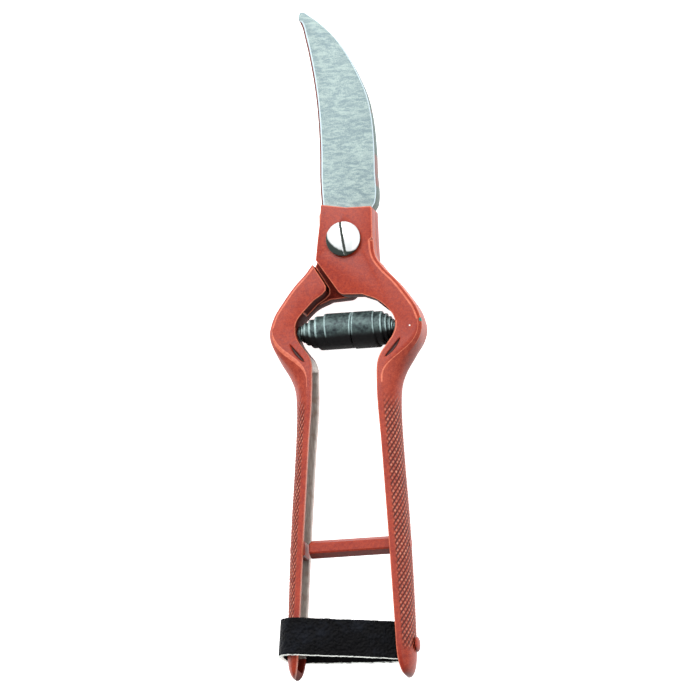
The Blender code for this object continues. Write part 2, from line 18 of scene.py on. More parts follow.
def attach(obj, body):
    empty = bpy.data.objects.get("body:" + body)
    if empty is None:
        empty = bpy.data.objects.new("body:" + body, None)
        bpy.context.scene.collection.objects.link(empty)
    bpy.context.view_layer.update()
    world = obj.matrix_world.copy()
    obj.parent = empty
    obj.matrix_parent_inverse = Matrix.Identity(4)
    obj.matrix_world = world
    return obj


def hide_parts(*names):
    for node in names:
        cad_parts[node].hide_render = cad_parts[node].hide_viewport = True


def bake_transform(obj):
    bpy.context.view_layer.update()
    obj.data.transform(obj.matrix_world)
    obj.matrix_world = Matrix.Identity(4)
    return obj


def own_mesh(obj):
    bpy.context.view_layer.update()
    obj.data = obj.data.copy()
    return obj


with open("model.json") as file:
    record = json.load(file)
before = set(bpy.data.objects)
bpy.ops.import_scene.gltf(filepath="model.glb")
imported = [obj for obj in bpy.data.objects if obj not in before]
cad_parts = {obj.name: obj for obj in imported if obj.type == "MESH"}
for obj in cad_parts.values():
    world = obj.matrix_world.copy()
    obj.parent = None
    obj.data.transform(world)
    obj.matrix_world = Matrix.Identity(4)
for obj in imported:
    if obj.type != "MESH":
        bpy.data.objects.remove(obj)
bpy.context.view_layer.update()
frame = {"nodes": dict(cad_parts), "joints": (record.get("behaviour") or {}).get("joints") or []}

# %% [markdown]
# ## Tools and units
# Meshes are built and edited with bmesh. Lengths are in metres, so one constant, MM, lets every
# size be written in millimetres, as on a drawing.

MM = 0.001
LAP_Z = frame["joints"][0]["pos_m"][2]
print("the pivot's plane stands", round(LAP_Z / MM, 2), "mm above the floor")

# %% [markdown]
# ## Shader sums
# Most finishes here are sums of noises. Wrapping a node's socket in a class with + and * lets such
# a sum be written as one line of Python.

# %% A socket that can be added and multiplied
class Signal:
    """A node's output; arithmetic on it adds Math nodes."""

    def __init__(self, tree, socket=None):
        self.tree = tree
        self.socket = socket

    def node(self, kind, settings=None, inputs=None, output=0):
        """Adds one node: its settings first, then the values or links of its sockets."""
        made = self.tree.nodes.new("ShaderNode" + kind)
        for name, value in (settings or {}).items():
            setattr(made, name, value)
        for name, value in (inputs or {}).items():
            if isinstance(value, Signal):
                self.tree.links.new(value.socket, made.inputs[name])
            else:
                made.inputs[name].default_value = value
        return Signal(self.tree, made.outputs[output])

    def maths(self, operation, first, second=0.0):
        return self.node("Math", {"operation": operation}, {0: first, 1: second})

    def __add__(self, other):
        return self.maths("ADD", self, other)

    def __sub__(self, other):
        return self.maths("SUBTRACT", self, other)

    def __rsub__(self, other):
        return self.maths("SUBTRACT", other, self)

    def __mul__(self, other):
        return self.maths("MULTIPLY", self, other)

    __radd__ = __add__
    __rmul__ = __mul__

    def clamped(self, low, high):
        """0 below low, 1 above high, and even in between."""
        settings = {"interpolation_type": "SMOOTHSTEP"}
        return self.node("MapRange", settings, {0: self, 1: low, 2: high})

    def places(self, stretch=(1, 1, 1)):
        """Object coordinates in metres, stretched by a factor along each axis."""
        place = self.node("TexCoord", output="Object")
        return self.node("Mapping", {}, {"Vector": place, "Scale": stretch})

    def speckle(self, scale, detail=2.0, stretch=(1, 1, 1), distortion=0.0):
        """Noise from 0 to 1 whose lumps are about one over scale metres across."""
        inputs = {"Vector": self.places(stretch), "Scale": scale, "Detail": detail}
        return self.node("TexNoise", {}, inputs | {"Distortion": distortion})

    def painted(self, low, high):
        """A colour between low and high as this signal goes from 0 to 1."""
        low, high = ((*c, 1.0) if isinstance(c, tuple) else c for c in (low, high))
        return self.node("Mix", {"data_type": "RGBA"}, {0: self, 6: low, 7: high}, 2)

    def attribute(self, name):
        return self.node("Attribute", {"attribute_name": name}, output="Fac")


def srgb(red, green, blue):
    """A colour written as 0 to 255 on a screen, in the linear units that shaders take."""
    levels = [level / 255 for level in (red, green, blue)]
    return tuple(c / 12.92 if c <= 0.04045 else ((c + 0.055) / 1.055) ** 2.4 for c in levels)


def new_finish(name, constants):
    """A material with its shader's constant sockets set; returns it, its shader and a Signal."""
    made = bpy.data.materials.new(name)
    made.use_nodes = True
    shader = made.node_tree.nodes["Principled BSDF"]
    for socket, value in constants.items():
        shader.inputs[socket].default_value = value
    return made, shader, Signal(made.node_tree)


def feed(shader, signals):
    for socket, signal in signals.items():
        signal.tree.links.new(signal.socket, shader.inputs[socket])


def bumped(shader, height, distance, strength=1.0):
    """Bump from a height signal; distance is the height in metres of its full range."""
    inputs = {"Height": height, "Distance": distance, "Strength": strength}
    feed(shader, {"Normal": height.node("Bump", {}, inputs)})


print("shader tools ready")

# %% [markdown]
# ## Enamel on a forging
# Brick-red enamel is never one colour: it pools thin and orange here, thick and dark there, and
# the forging's skin shows through. Noises of different size mix the colour and make faint lumps.
# It draws thin and lighter over every edge, partly as a painted highlight, and painted shade darkens
# the walls inside the bow and the sides away from the main light. On the knurl, values stored on
# the mesh say how deep or proud a point lies: grooves darken with painted shade and dirt, and the
# diamonds get a painted highlight.

# %% Enamel
BRICK_THICK = srgb(126, 24, 8)
BRICK_THIN = srgb(164, 54, 24)
DIAMOND_HIGHLIGHT = srgb(212, 140, 112)
SHADE_AND_DIRT_RED = srgb(56, 18, 15)
NOTCH_DEEP_SHADE = srgb(18, 8, 8)
SHADE_FACING = (0.28, -0.95, -0.1)
CHIPS = (
    ((25.7, -29.1, 12.4), 0.75, srgb(30, 110, 100)),
    ((22.4, -31.1, 13.6), 0.28, srgb(246, 240, 232)),
)


def enamel(name, thick=BRICK_THICK, thin=BRICK_THIN, knurled=False, shine=1.0):
    constants = {"Coat Roughness": 0.25, "IOR": 1.45, "Specular IOR Level": 0.35 * shine}
    made, shader, start = new_finish(name, constants)
    pools = start.speckle(60, 2.0)
    mottle = start.speckle(800, 4.0)
    grain = start.speckle(2600, 2.0)
    blend = (pools * 0.35 + mottle * 0.65 + grain * 0.7 - 0.35).clamped(0.2, 0.8)
    colour = blend.painted(thick, thin)
    if knurled:
        # Painted highlight: the knurl's proud diamonds turn a light salmon.
        proud = start.attribute("proud") * (start.speckle(600) * 1.3)
        colour = proud.clamped(0.2, 1.1).painted(colour, DIAMOND_HIGHLIGHT)
        # The knurl's grooves and the crease are darkened: painted shade, and dirt that sits in them.
        groove_shade_and_dirt = start.attribute("groove") * (0.6 + start.speckle(500) * 0.7)
        colour = groove_shade_and_dirt.clamped(0.1, 0.9).painted(colour, SHADE_AND_DIRT_RED)
    # Painted shade: faces that look down the Y axis, away from the main light, are darkened.
    under = start.node("TexCoord", output="Normal")
    shaded_side = start.node("VectorMath", {"operation": "DOT_PRODUCT"}, {0: under, 1: SHADE_FACING}, 1)
    colour = (shaded_side.clamped(0.25, 0.95) * 0.8).painted(colour, SHADE_AND_DIRT_RED)
    for place, size, bare in CHIPS:
        place = tuple(value * MM for value in place)
        offset = start.node("VectorMath", {"operation": "DISTANCE"}, {0: start.places(), 1: place}, 1)
        chipped = (offset + mottle * (0.6 * MM)).clamped((size + 0.34) * MM, (size + 0.26) * MM)
        colour = chipped.painted(colour, bare)
    feed(shader, {"Base Color": colour, "Roughness": mottle * 0.2 + 0.32 + pools * 0.1})
    feed(shader, {"Coat Weight": (pools * 0.14 + 0.04) * shine})
    lumps = start.speckle(240, 2.0) * 0.6 + start.speckle(1500, 3.0) * 0.4
    bumped(shader, lumps, 0.22 * MM, 0.5)
    return made


ENAMEL = enamel("brick_red_enamel")
KNURLED_ENAMEL = enamel("knurled_enamel", srgb(126, 34, 20), srgb(168, 66, 42), True)
# Lighter enamel for edges and ridges: partly enamel drawn thin, partly a painted highlight.
EDGE_HIGHLIGHT_ENAMEL = enamel("edge_highlight_enamel", srgb(178, 78, 54), srgb(212, 116, 88))
# Dark enamel as painted shade on the walls inside the bow and on hidden sides.
SHADED_WALL_ENAMEL = enamel("shaded_wall_enamel", srgb(70, 16, 12), srgb(116, 38, 26), shine=0.1)
# Near black painted shade for the notch's gap between the two arms.
NOTCH_SHADE_ENAMEL = enamel("notch_shade_enamel", NOTCH_DEEP_SHADE, srgb(52, 18, 14), shine=0.0)
SPINE_ENAMEL = enamel("spine_enamel", srgb(84, 28, 18), srgb(122, 50, 34))
print("enamel finishes made")

# %% [markdown]
# ## Ground, bare and blued steel
# The blade's face is ground straight across, so its scratches are noise drawn out along X. The
# handles' channels are bare, with streaks the other way. The spring is blued, and rubbed bright
# along the strip's edges; the lower side of its coils gets painted shade.

# %% Steels
def ground_steel(name):
    made, shader, start = new_finish(name, {"Metallic": 0.25, "IOR": 1.6})
    fine = start.speckle(500, 2.0, (0.7, 2.3, 1), 0.6)
    broad = start.speckle(200, 2.0, (0.7, 2.2, 1), 0.8)
    grit = start.speckle(2600, 1.0)
    blend = (broad * 0.3 + fine * 0.8 + grit * 0.5 - 0.3).clamped(0.28, 0.76)
    feed(shader, {"Base Color": blend.painted(srgb(112, 133, 138), srgb(164, 182, 178))})
    feed(shader, {"Roughness": fine * 0.2 + 0.5})
    bumped(shader, fine * 0.5 + broad * 0.5, 0.07 * MM, 0.5)
    return made


def edge_steel(name):
    """The side of the blades: dark, with a green cast, and specks of old enamel."""
    made, shader, start = new_finish(name, {"IOR": 1.6})
    cloud = start.speckle(300, 3.0)
    paint = start.speckle(120, 2.0, (1, 1, 0.3)).clamped(0.56, 0.62)
    steel = cloud.painted(srgb(28, 46, 42), srgb(64, 92, 84))
    feed(shader, {"Base Color": paint.painted(steel, srgb(104, 48, 34))})
    feed(shader, {"Metallic": (1.0 - paint) * 0.3, "Roughness": cloud * 0.2 + 0.4})
    bumped(shader, cloud, 0.06 * MM, 0.4)
    return made


def channel_steel(name):
    made, shader, start = new_finish(name, {"IOR": 1.6})
    streak = start.speckle(3200, 2.0, (1, 0.06, 1))
    stain = start.speckle(420, 5.0, (1, 0.8, 1))
    metal = streak.clamped(0.3, 0.7).painted(srgb(160, 150, 143), srgb(190, 182, 175))
    rust = (stain * 0.85 + streak * 0.15).clamped(0.46, 0.7)
    feed(shader, {"Base Color": rust.painted(metal, srgb(146, 126, 114))})
    feed(shader, {"Metallic": 0.6 - rust * 0.5, "Roughness": stain * 0.25 + 0.34})
    bumped(shader, streak, 0.08 * MM, 0.6)
    return made


def polished_steel(name, colour, roughness, scale=500, metallic=1.0):
    made, shader, start = new_finish(name, {"Metallic": metallic})
    swirl = start.speckle(scale, 4.0, (1, 1, 1), 1.5)
    dark = tuple(0.86 * level for level in colour)
    feed(shader, {"Base Color": swirl.painted(dark, colour), "Roughness": swirl * 0.08 + roughness})
    bumped(shader, swirl, 0.02 * MM, 0.25)
    return made


def screw_steel(name):
    """Polished, with a painted dark reflection on the dome's lower left side."""
    made, shader, start = new_finish(name, {"Roughness": 0.22})
    swirl = start.speckle(500, 3.0)
    facing = start.node("TexCoord", output="Normal")
    lean = start.node("VectorMath", {"operation": "DOT_PRODUCT"}, {0: facing, 1: DARK_REFLECTION_SIDE}, 1)
    dark_reflection = (lean + swirl * 0.06).clamped(0.165, 0.215)
    bright = swirl.painted(srgb(222, 228, 228), srgb(246, 248, 248))
    feed(shader, {"Base Color": dark_reflection.painted(bright, srgb(44, 54, 50))})
    feed(shader, {"Metallic": 0.5 - dark_reflection * 0.3})
    return made


def blued_steel(name):
    made, shader, start = new_finish(name, {"IOR": 1.5, "Specular IOR Level": 0.25})
    scale = start.speckle(900, 4.0)
    cloud = start.speckle(180, 2.0)
    body = (scale * 0.6 + cloud * 0.5).clamped(0.35, 0.75).painted(srgb(34, 42, 46), srgb(88, 106, 104))
    worn = (start.attribute("rubbed") * (0.5 + scale)).clamped(0.35, 0.9)
    worn = worn.painted(body, srgb(158, 182, 182))
    # Painted shade: the coil's lower side goes near black and duller.
    coil_shade = (start.attribute("shaded_half") + cloud * 0.2).clamped(0.42, 0.62)
    feed(shader, {"Base Color": coil_shade.painted(worn, srgb(5, 5, 7))})
    feed(shader, {"Metallic": (1.0 - coil_shade) * 0.5, "Roughness": scale * 0.3 + 0.3 + coil_shade * 0.3})
    bumped(shader, scale, 0.07 * MM, 0.5)
    return made


# The side of the screw's dome that gets a painted dark reflection.
DARK_REFLECTION_SIDE = (-0.55, -0.83, 0.0)
GROUND = ground_steel("ground_blade_steel")
EDGE = edge_steel("blade_edge_steel")
CHANNEL = channel_steel("bare_channel_steel")
# Dark steel as painted shade in the slot and round the head's side.
SLOT_AND_RIM_SHADE = polished_steel("slot_and_rim_shade_steel", srgb(52, 62, 54), 0.6, 500, 0.2)
POLISHED = screw_steel("polished_screw_steel")
PLATED = polished_steel("plated_steel", srgb(190, 192, 188), 0.24, 900)
BLUED = blued_steel("blued_spring_steel")
BRASS = polished_steel("dull_brass", srgb(150, 128, 84), 0.34, 1200)
# A light steel for the blades' narrow rims, a painted highlight line.
RIM_HIGHLIGHT_STEEL = polished_steel("rim_highlight_steel", srgb(196, 214, 222), 0.5, 900, 0.2)
print("steels and a brass made")

# %% [markdown]
# ## Leather
# The strap is hide dyed black on its face. Its grain is a net of small cells, so it is a Voronoi
# pattern softened by noise. The cut edge isn't dyed through: pale fibres show there.

# %% Leather and its cut edge
def leather(name):
    made, shader, start = new_finish(name, {"IOR": 1.5, "Specular IOR Level": 0.1})
    inputs = {"Vector": start.places(), "Scale": 1150.0, "Randomness": 1.0}
    cells = start.node("TexVoronoi", {"feature": "SMOOTH_F1"}, inputs)
    wrinkle = start.speckle(420, 5.0, (1, 1, 1), 0.8)
    wear = (start.speckle(90, 3.0) * 0.6 + wrinkle * 0.5).clamped(0.5, 0.85)
    feed(shader, {"Base Color": wear.painted(srgb(2, 2, 4), srgb(22, 25, 32))})
    feed(shader, {"Roughness": wrinkle * 0.3 + 0.46 + cells * 0.1})
    bumped(shader, cells * 0.9 + wrinkle * 1.1, 0.6 * MM, 1.0)
    return made


def raw_edge(name):
    made, shader, start = new_finish(name, {"IOR": 1.4})
    fibre = start.speckle(700, 4.0, (1, 4, 4))
    patch = start.speckle(420, 3.0).clamped(0.3, 0.48)
    tuft = patch * fibre.clamped(0.26, 0.5)
    feed(shader, {"Base Color": tuft.painted(srgb(58, 64, 62), srgb(236, 240, 234))})
    feed(shader, {"Roughness": fibre * 0.2 + 0.7})
    bumped(shader, fibre, 0.35 * MM, 0.9)
    return made


LEATHER = leather("black_strap_leather")
RAW_EDGE = raw_edge("raw_leather_edge")
print("leather finishes made")

# %% [markdown]
# ## Cutting, easing and turning
# These do to a mesh what is done to metal: saw it, break its edges and turn it on a lathe.

# %% Mesh tools
def linked(name, data):
    """A new object in the scene."""
    obj = bpy.data.objects.new(name, data)
    bpy.context.scene.collection.objects.link(obj)
    return obj


def outwards(bm):
    """Turns every face's normal outwards."""
    bmesh.ops.recalc_face_normals(bm, faces=bm.faces)


def solid(name, bm):
    """A new object from a bmesh, which is used up."""
    mesh = bpy.data.meshes.new(name)
    bm.to_mesh(mesh)
    bm.free()
    return linked(name, mesh)


def cut(*parts):
    """The first mesh less each of the others, by exact Booleans."""
    for part in parts:
        outwards(part)
    body, *tools = [solid("scratch", part) for part in parts]
    for tool in tools:
        modifier = body.modifiers.new("cut", "BOOLEAN")
        modifier.solver = "EXACT"
        modifier.object = tool
    bpy.context.view_layer.update()
    graph = bpy.context.evaluated_depsgraph_get()
    result = bmesh.new()
    result.from_mesh(body.evaluated_get(graph).to_mesh())
    for obj in [body, *tools]:
        bpy.data.objects.remove(obj, do_unlink=True)
    result.normal_update()
    return result


def block(outline, low, high):
    """A flat outline of (x, y) points, extruded from low to high."""
    bm = bmesh.new()
    face = bm.faces.new([bm.verts.new((x, y, low)) for x, y in outline])
    grown = bmesh.ops.extrude_face_region(bm, geom=[face])
    raised = [item for item in grown["geom"] if isinstance(item, bmesh.types.BMVert)]
    bmesh.ops.translate(bm, verts=raised, vec=(0, 0, high - low))
    outwards(bm)
    return bm


def bevelled(bm, edges, width, segments=2, material=-1):
    """Bevels these edges and returns the new faces."""
    made = bmesh.ops.bevel(
        bm, geom=edges, offset=width, segments=segments, profile=0.5, affect="EDGES",
        material=material, clamp_overlap=False,
    )
    return made["faces"]


def ease(bm, width, segments=2, angle=40, keep=lambda edge: True, material=-1):
    """Bevels the edges sharper than an angle that keep() allows."""
    sharp = [
        edge for edge in bm.edges
        if len(edge.link_faces) == 2 and edge.calc_face_angle(0.0) > math.radians(angle)
        and keep(edge)
    ]
    bevelled(bm, sharp, width, segments, material)


def turned(profile, steps):
    """An open (radius, height) profile spun round the Z axis."""
    bm = bmesh.new()
    verts = [bm.verts.new((radius, 0, height)) for radius, height in profile]
    edges = [bm.edges.new(pair) for pair in zip(verts, verts[1:])]
    bmesh.ops.spin(
        bm, geom=verts + edges, cent=(0, 0, 0), axis=(0, 0, 1), angle=2 * math.pi,
        steps=steps, use_merge=True,
    )
    bmesh.ops.remove_doubles(bm, verts=bm.verts, dist=0.001 * MM)
    outwards(bm)
    return bm


def rolled(columns, rows, *names):
    """A grid to be rolled into a tube, (vert, column, row) for each of its points, and a layer
    for each name."""
    bm = bmesh.new()
    bmesh.ops.create_grid(bm, x_segments=columns, y_segments=rows, size=0.5)
    layers = [bm.verts.layers.float.new(name) for name in names]
    points = [
        (vert, round((vert.co.x + 0.5) * columns) % columns, round((vert.co.y + 0.5) * rows))
        for vert in bm.verts
    ]
    return bm, points, *layers


def quarter_turn(steps):
    """Pairs of 1 - sine and 1 - cosine at even steps of a quarter turn."""
    turns = [math.pi / 2 * step / steps for step in range(steps + 1)]
    return [(1 - math.sin(turn), 1 - math.cos(turn)) for turn in turns]


def smooth_step(low, high, value):
    """0 below low, 1 above high, and smooth in between."""
    t = min(max((value - low) / (high - low), 0.0), 1.0)
    return t * t * (3 - 2 * t)


print("mesh tools ready")

# %% [markdown]
# ## Making a piece
# Every piece ends the same way: doubles merged, normals out, smooth shading with real corners
# kept, its finishes assigned, and its place in the frame told.

# %% Finishing a piece
def piece(bm, name, finishes, body, *nodes, angle=35):
    """Turns a bmesh into an object that rides on a body and stands for CAD nodes."""
    bmesh.ops.remove_doubles(bm, verts=bm.verts, dist=0.002 * MM)
    outwards(bm)
    for face in bm.faces:
        face.smooth = True
    for edge in bm.edges:
        if len(edge.link_faces) == 2:
            edge.smooth = edge.calc_face_angle(0.0) < math.radians(angle)
    obj = solid(name, bm)
    for finish in finishes:
        obj.data.materials.append(finish)
    if body:
        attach(obj, body)
    if nodes:
        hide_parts(*nodes)
    print(name, len(obj.data.polygons), "faces")
    return obj


print("pieces can be made")

# %% [markdown]
# ## The arm's outline
# Both arms are the same forging, one turned over, so one set of edges serves both. Each edge is a
# smooth curve through a few places: how far out it lies (X) at a height along the tool (Y). The
# arm is worked out as the front, right-hand one, with the lap's plane at Z = 0.

# %% Edges of the arm
INNER_EDGE = (
    (-17, 2), (-19.3, 6.1), (-21.3, 10.9), (-24, 14.2), (-27, 16.6), (-30.2, 17.35),
    (-33.4, 16.6), (-36.5, 14.6), (-39.5, 12.4), (-42.5, 11.2), (-46, 10.85), (-56, 11.1),
    (-70, 12.2), (-85, 13.2), (-105, 14.5), (-124, 15.6), (-138, 16.4), (-152, 17),
)
OUTER_EDGE = (
    (5, 9.75), (-1, 9.9), (-6.2, 10.7), (-10.4, 13.5), (-14.6, 17.5), (-20.1, 21.7),
    (-25, 24.8), (-30.5, 26.3), (-35.5, 25.5), (-40.6, 23.1), (-45.5, 20.2), (-50, 18.5),
    (-56, 18), (-65, 18.2), (-78, 19), (-97, 20.35), (-124, 21.6), (-152, 22.4),
)
ARM_HALF = 5.0 * MM
LAP_GAP = 0.15 * MM
BREAK_Y = -29.0 * MM
TIP_FROM_Y = -138.0 * MM
TIP = Vector((19.2, -150.3)) * MM
LEFT_SHORTER = 1.3 * MM
LEFT_NARROWER = 0.8 * MM
HANDLE_HALF = 6.2 * MM
OUTER_ROUND = 1.2 * MM
INNER_ROUND = 0.35 * MM
EDGE_ROUND = 0.34 * MM


def through(table, at):
    """The smooth curve through (Y, X) places in millimetres, read at a Y in metres."""
    place = at / MM
    last = len(table) - 2
    index = 0
    while index < last and table[index + 1][0] > place:
        index += 1
    (y0, x0), (y1, x1) = table[index], table[index + 1]
    before = table[max(index - 1, 0)]
    after = table[min(index + 2, last + 1)]
    slope0 = (x1 - before[1]) / (y1 - before[0])
    slope1 = (after[1] - x0) / (after[0] - y0)
    span = y1 - y0
    t = min(max((place - y0) / span, 0.0), 1.0)
    value = (2 * t**3 - 3 * t**2 + 1) * x0 + (t**3 - 2 * t**2 + t) * span * slope0
    value += (3 * t**2 - 2 * t**3) * x1 + (t**3 - t**2) * span * slope1
    return value * MM


print("bow is", round((through(OUTER_EDGE, BREAK_Y) - through(INNER_EDGE, BREAK_Y)) / MM, 1), "mm wide")

# %% [markdown]
# ## Plate and upper bow
# This part is flat, so it starts as an outline extruded to the arm's thickness. The other arm's
# plate is let in by cutting away the rear half above a slanting shoulder. The outer edge gets
# the forging's wide chamfer and every other edge a narrow one, coloured lighter as a painted
# highlight line. Painted shade darkens the walls inside the bow, the notch and the lap's face.

# %% Plate
PLATE_TOP = 11.6 * MM
PLATE_LEFT = ((-7.9, 12.5), (-8.4, 6.0), (-9.2, 0.0), (-9.9, -6.5))
COUNTER_PLATE_LEFT = ((-9.5, 10.8), (-9.6, 6.0), (-9.8, 0.0), (-10.2, -6.5))
PLATE_CORNER = Vector((-1.4, -19.0)) * MM
CORNER_ROUND = 1.6 * MM
SHOULDER = ((16.7, 1.2), (6.35, -15.6), (6.5, -17.2), (7.7, -18.5), (10.6, -20.3), (14.4, -24.1))
HOLE_RADIUS = 3.6 * MM
BOW_FIRST_Y = -19.3 * MM
BELOW_BREAK_Y = -33.0 * MM
PLATE_SIDE = Vector((-7.0, -8.0)) * MM
OUTER_SIDE_TOP, NOTCH_LOW_Y = 9 * MM, -16.5 * MM
CUT_REACH = 20 * MM
CLOSEST_POINTS = 0.15 * MM
CORNER_STEPS, INNER_STEPS, OUTER_STEPS = 6, 26, 44


def plate_outline(left_edge):
    """The flat part's outline: down the left edge, round the bow inside, and back up outside."""
    outline = [Vector(pair) * MM for pair in left_edge]
    towards = (outline[-1] - PLATE_CORNER).normalized() * CORNER_ROUND
    for step in range(CORNER_STEPS + 1):
        t = step / CORNER_STEPS
        along = Vector((CORNER_ROUND, 0))
        outline.append(PLATE_CORNER + towards * (1 - t) ** 2 + along * t**2)
    for step in range(INNER_STEPS + 1):
        y = BOW_FIRST_Y + (BELOW_BREAK_Y - BOW_FIRST_Y) * step / INNER_STEPS
        outline.append(Vector((through(INNER_EDGE, y), y)))
    for step in range(OUTER_STEPS + 1):
        y = BELOW_BREAK_Y * (1 - step / OUTER_STEPS)
        outline.append(Vector((through(OUTER_EDGE, y), y)))
    outline += [Vector(pair) * MM for pair in ((9.75, 10.2), (9.4, 10.9), (1.0, 11.0))]
    spaced = outline[:1]
    for point in outline[1:]:
        if (point - spaced[-1]).length > CLOSEST_POINTS:
            spaced.append(point)
    return spaced


def shoulder_block():
    """All of the rear half above the shoulder, as a block to cut away."""
    points = [Vector(pair) * MM for pair in SHOULDER]
    rounded = [points[0]]
    for before, corner, after in zip(points, points[1:], points[2:]):
        for t in (0.25, 0.5, 0.75):
            start, end = corner.lerp(before, 0.12), corner.lerp(after, 0.3)
            rounded.append(start.lerp(corner, t).lerp(corner.lerp(end, t), t))
    rounded += [points[-1], Vector((14.4, -36.0)) * MM, Vector((-30.0, -36.0)) * MM]
    rounded += [Vector((-30.0, 30.0)) * MM, Vector((16.7, 30.0)) * MM]
    return block(rounded, -CUT_REACH, LAP_GAP)


def takes_painted_shade(face):
    """The walls inside the bow and the notch, and the lap's face, which get painted shade."""
    centre = face.calc_center_median()
    if abs(face.normal.z) > 0.7 and abs(centre.z) < ARM_HALF - MM:
        return True
    if centre.x < PLATE_SIDE.x and centre.y > PLATE_SIDE.y:
        return False
    beside = centre.x - through(OUTER_EDGE, centre.y) if centre.y < 5 * MM else 0.0
    return abs(face.normal.z) < 0.6 and face.normal.y < 0.9 and beside < -2 * MM


def is_outer_edge(edge):
    """Whether an edge of the flat block lies along the arm's outer side."""
    return all(
        vert.co.y <= OUTER_SIDE_TOP and abs(abs(vert.co.z) - ARM_HALF) <= 0.01 * MM
        and abs(vert.co.x - through(OUTER_EDGE, vert.co.y)) <= 0.05 * MM
        for vert in edge.verts
    )


def above_break(edge):
    return min(v.co.y for v in edge.verts) > BELOW_BREAK_Y + MM


def plate_and_bow(turned_over):
    """An arm's flat part, from the plate's top to the middle of the bow."""
    outline = plate_outline(COUNTER_PLATE_LEFT if turned_over else PLATE_LEFT)
    bore = bmesh.new()
    bmesh.ops.create_cone(
        bore, cap_ends=True, segments=48, radius1=HOLE_RADIUS, radius2=HOLE_RADIUS,
        depth=2 * CUT_REACH,
    )
    bm = cut(block(outline, -ARM_HALF, ARM_HALF), shoulder_block(), bore)
    ease(bm, OUTER_ROUND, 1, 40, is_outer_edge)
    # Painted shade on the walls inside the bow and on the lap's face; near black in the notch's gap.
    for face in bm.faces:
        in_notch = face.calc_center_median().y > NOTCH_LOW_Y and abs(face.normal.z) < 0.6
        face.material_index = (3 if in_notch else 2) if takes_painted_shade(face) else 0
    # The narrow bevels take the lighter edge enamel, a painted highlight line.
    ease(bm, EDGE_ROUND, 3, 36, above_break, 1)
    bmesh.ops.bisect_plane(
        bm, geom=bm.verts[:] + bm.edges[:] + bm.faces[:], plane_co=(0, BREAK_Y, 0),
        plane_no=(0, 1, 0), clear_inner=True,
    )
    bmesh.ops.holes_fill(bm, edges=bm.edges, sides=0)
    return bm


print("plate outline has", len(plate_outline(PLATE_LEFT)), "points")

# %% [markdown]
# ## Lower bow and handle
# Below the bow's widest place the section changes all the way down: square, then round outside,
# then a channel open towards the other handle, then a canoe's end. A grid of points makes such a
# shape: each row is one section, and a formula says where each of its points lies. The knurl is
# cut into the same grid: two sets of slanting V grooves that leave diamonds.

# %% Sizes of the handle, knurl and crease
RIM_LAND = 1.6 * MM
WALL = 2.0 * MM
CHANNEL_TOP_Y = -43.2 * MM
CHANNEL_END_Y = -147.4 * MM
BARE_ABOVE = 4 * MM
SIDE_FULL_Y = -48.0 * MM
KNURL_TOP_Y = -49.0 * MM
KNURL_END_Y = -144.0 * MM
KNURL_ALONG = 2.25 * MM
KNURL_ROUND = 1.55 * MM
KNURL_DEPTH = 0.34 * MM
SIDE_START = math.radians(76)
CREASE_DEPTH, CREASE_WIDTH = 0.6 * MM, 0.75 * MM
CREASE_TOP, CREASE_LOW = Vector((18.9, -35.2)) * MM, Vector((13.7, -41.4)) * MM
GROOVE_SHARE, SECOND_CUT = 0.34, 0.6
LAND_STEPS, SIDE_STEPS, RIM_STEPS, FLOOR_STEPS, TIP_STEPS = 26, 80, 4, 8, 34
PLAIN_FACE, KNURLED_FACE, CHANNEL_FACE, EDGE_HIGHLIGHT_FACE, SHADED_WALL_FACE = range(5)


def arm_edges(y):
    """Inner edge, outer edge and half depth at a height y, all drawn in towards the tip."""
    inner = through(INNER_EDGE, y)
    outer = through(OUTER_EDGE, y)
    half = ARM_HALF + (HANDLE_HALF - ARM_HALF) * smooth_step(0, 29 * MM, BREAK_Y - y)
    if y < TIP_FROM_Y:
        along = min((TIP_FROM_Y - y) / (TIP_FROM_Y - TIP.y), 0.998)
        left = (1 - along**2.6) ** (1 / 2.3)
        inner = TIP.x + (inner - TIP.x) * left
        outer = TIP.x + (outer - TIP.x) * left
        half *= left**0.7
    return inner, outer, half


def groove_at(round_it, along_it):
    """How deep in the knurl a place lies, from 0 on a diamond to 1 on a groove's line."""
    deepest = 0.0
    for slant, strength in ((-1, 1.0), (1, SECOND_CUT)):
        turn = round_it / KNURL_ROUND + slant * along_it / KNURL_ALONG
        distance = abs(turn - round(turn))
        deepest = max(deepest, strength * max(0.0, 1 - distance / GROOVE_SHARE))
    return deepest


def crease_depth(x, y):
    """The eye-shaped fold that the forging die leaves below the bow."""
    axis = (CREASE_LOW - CREASE_TOP).normalized()
    middle = (CREASE_TOP + CREASE_LOW) / 2
    offset = Vector((x, y)) - middle
    along = offset.dot(axis) / ((CREASE_LOW - CREASE_TOP).length / 2)
    across = (offset.x * axis.y - offset.y * axis.x) / CREASE_WIDTH
    across += 0.5 * (1 - along**2)
    if abs(along) >= 1:
        return 0.0
    reach = max(0.0, 1 - (across / (1 - along**2) ** 0.7) ** 2) if abs(across) < 2 else 0.0
    return CREASE_DEPTH * reach


print(round(KNURL_ALONG / MM, 2), "by", round(KNURL_ROUND / MM, 2), "mm knurl")

# %% [markdown]
# ## One section
# A section runs from the front rim over the land and the outer side to the rear rim, and back
# through the channel. Each of its points carries the finish of the face that starts there.

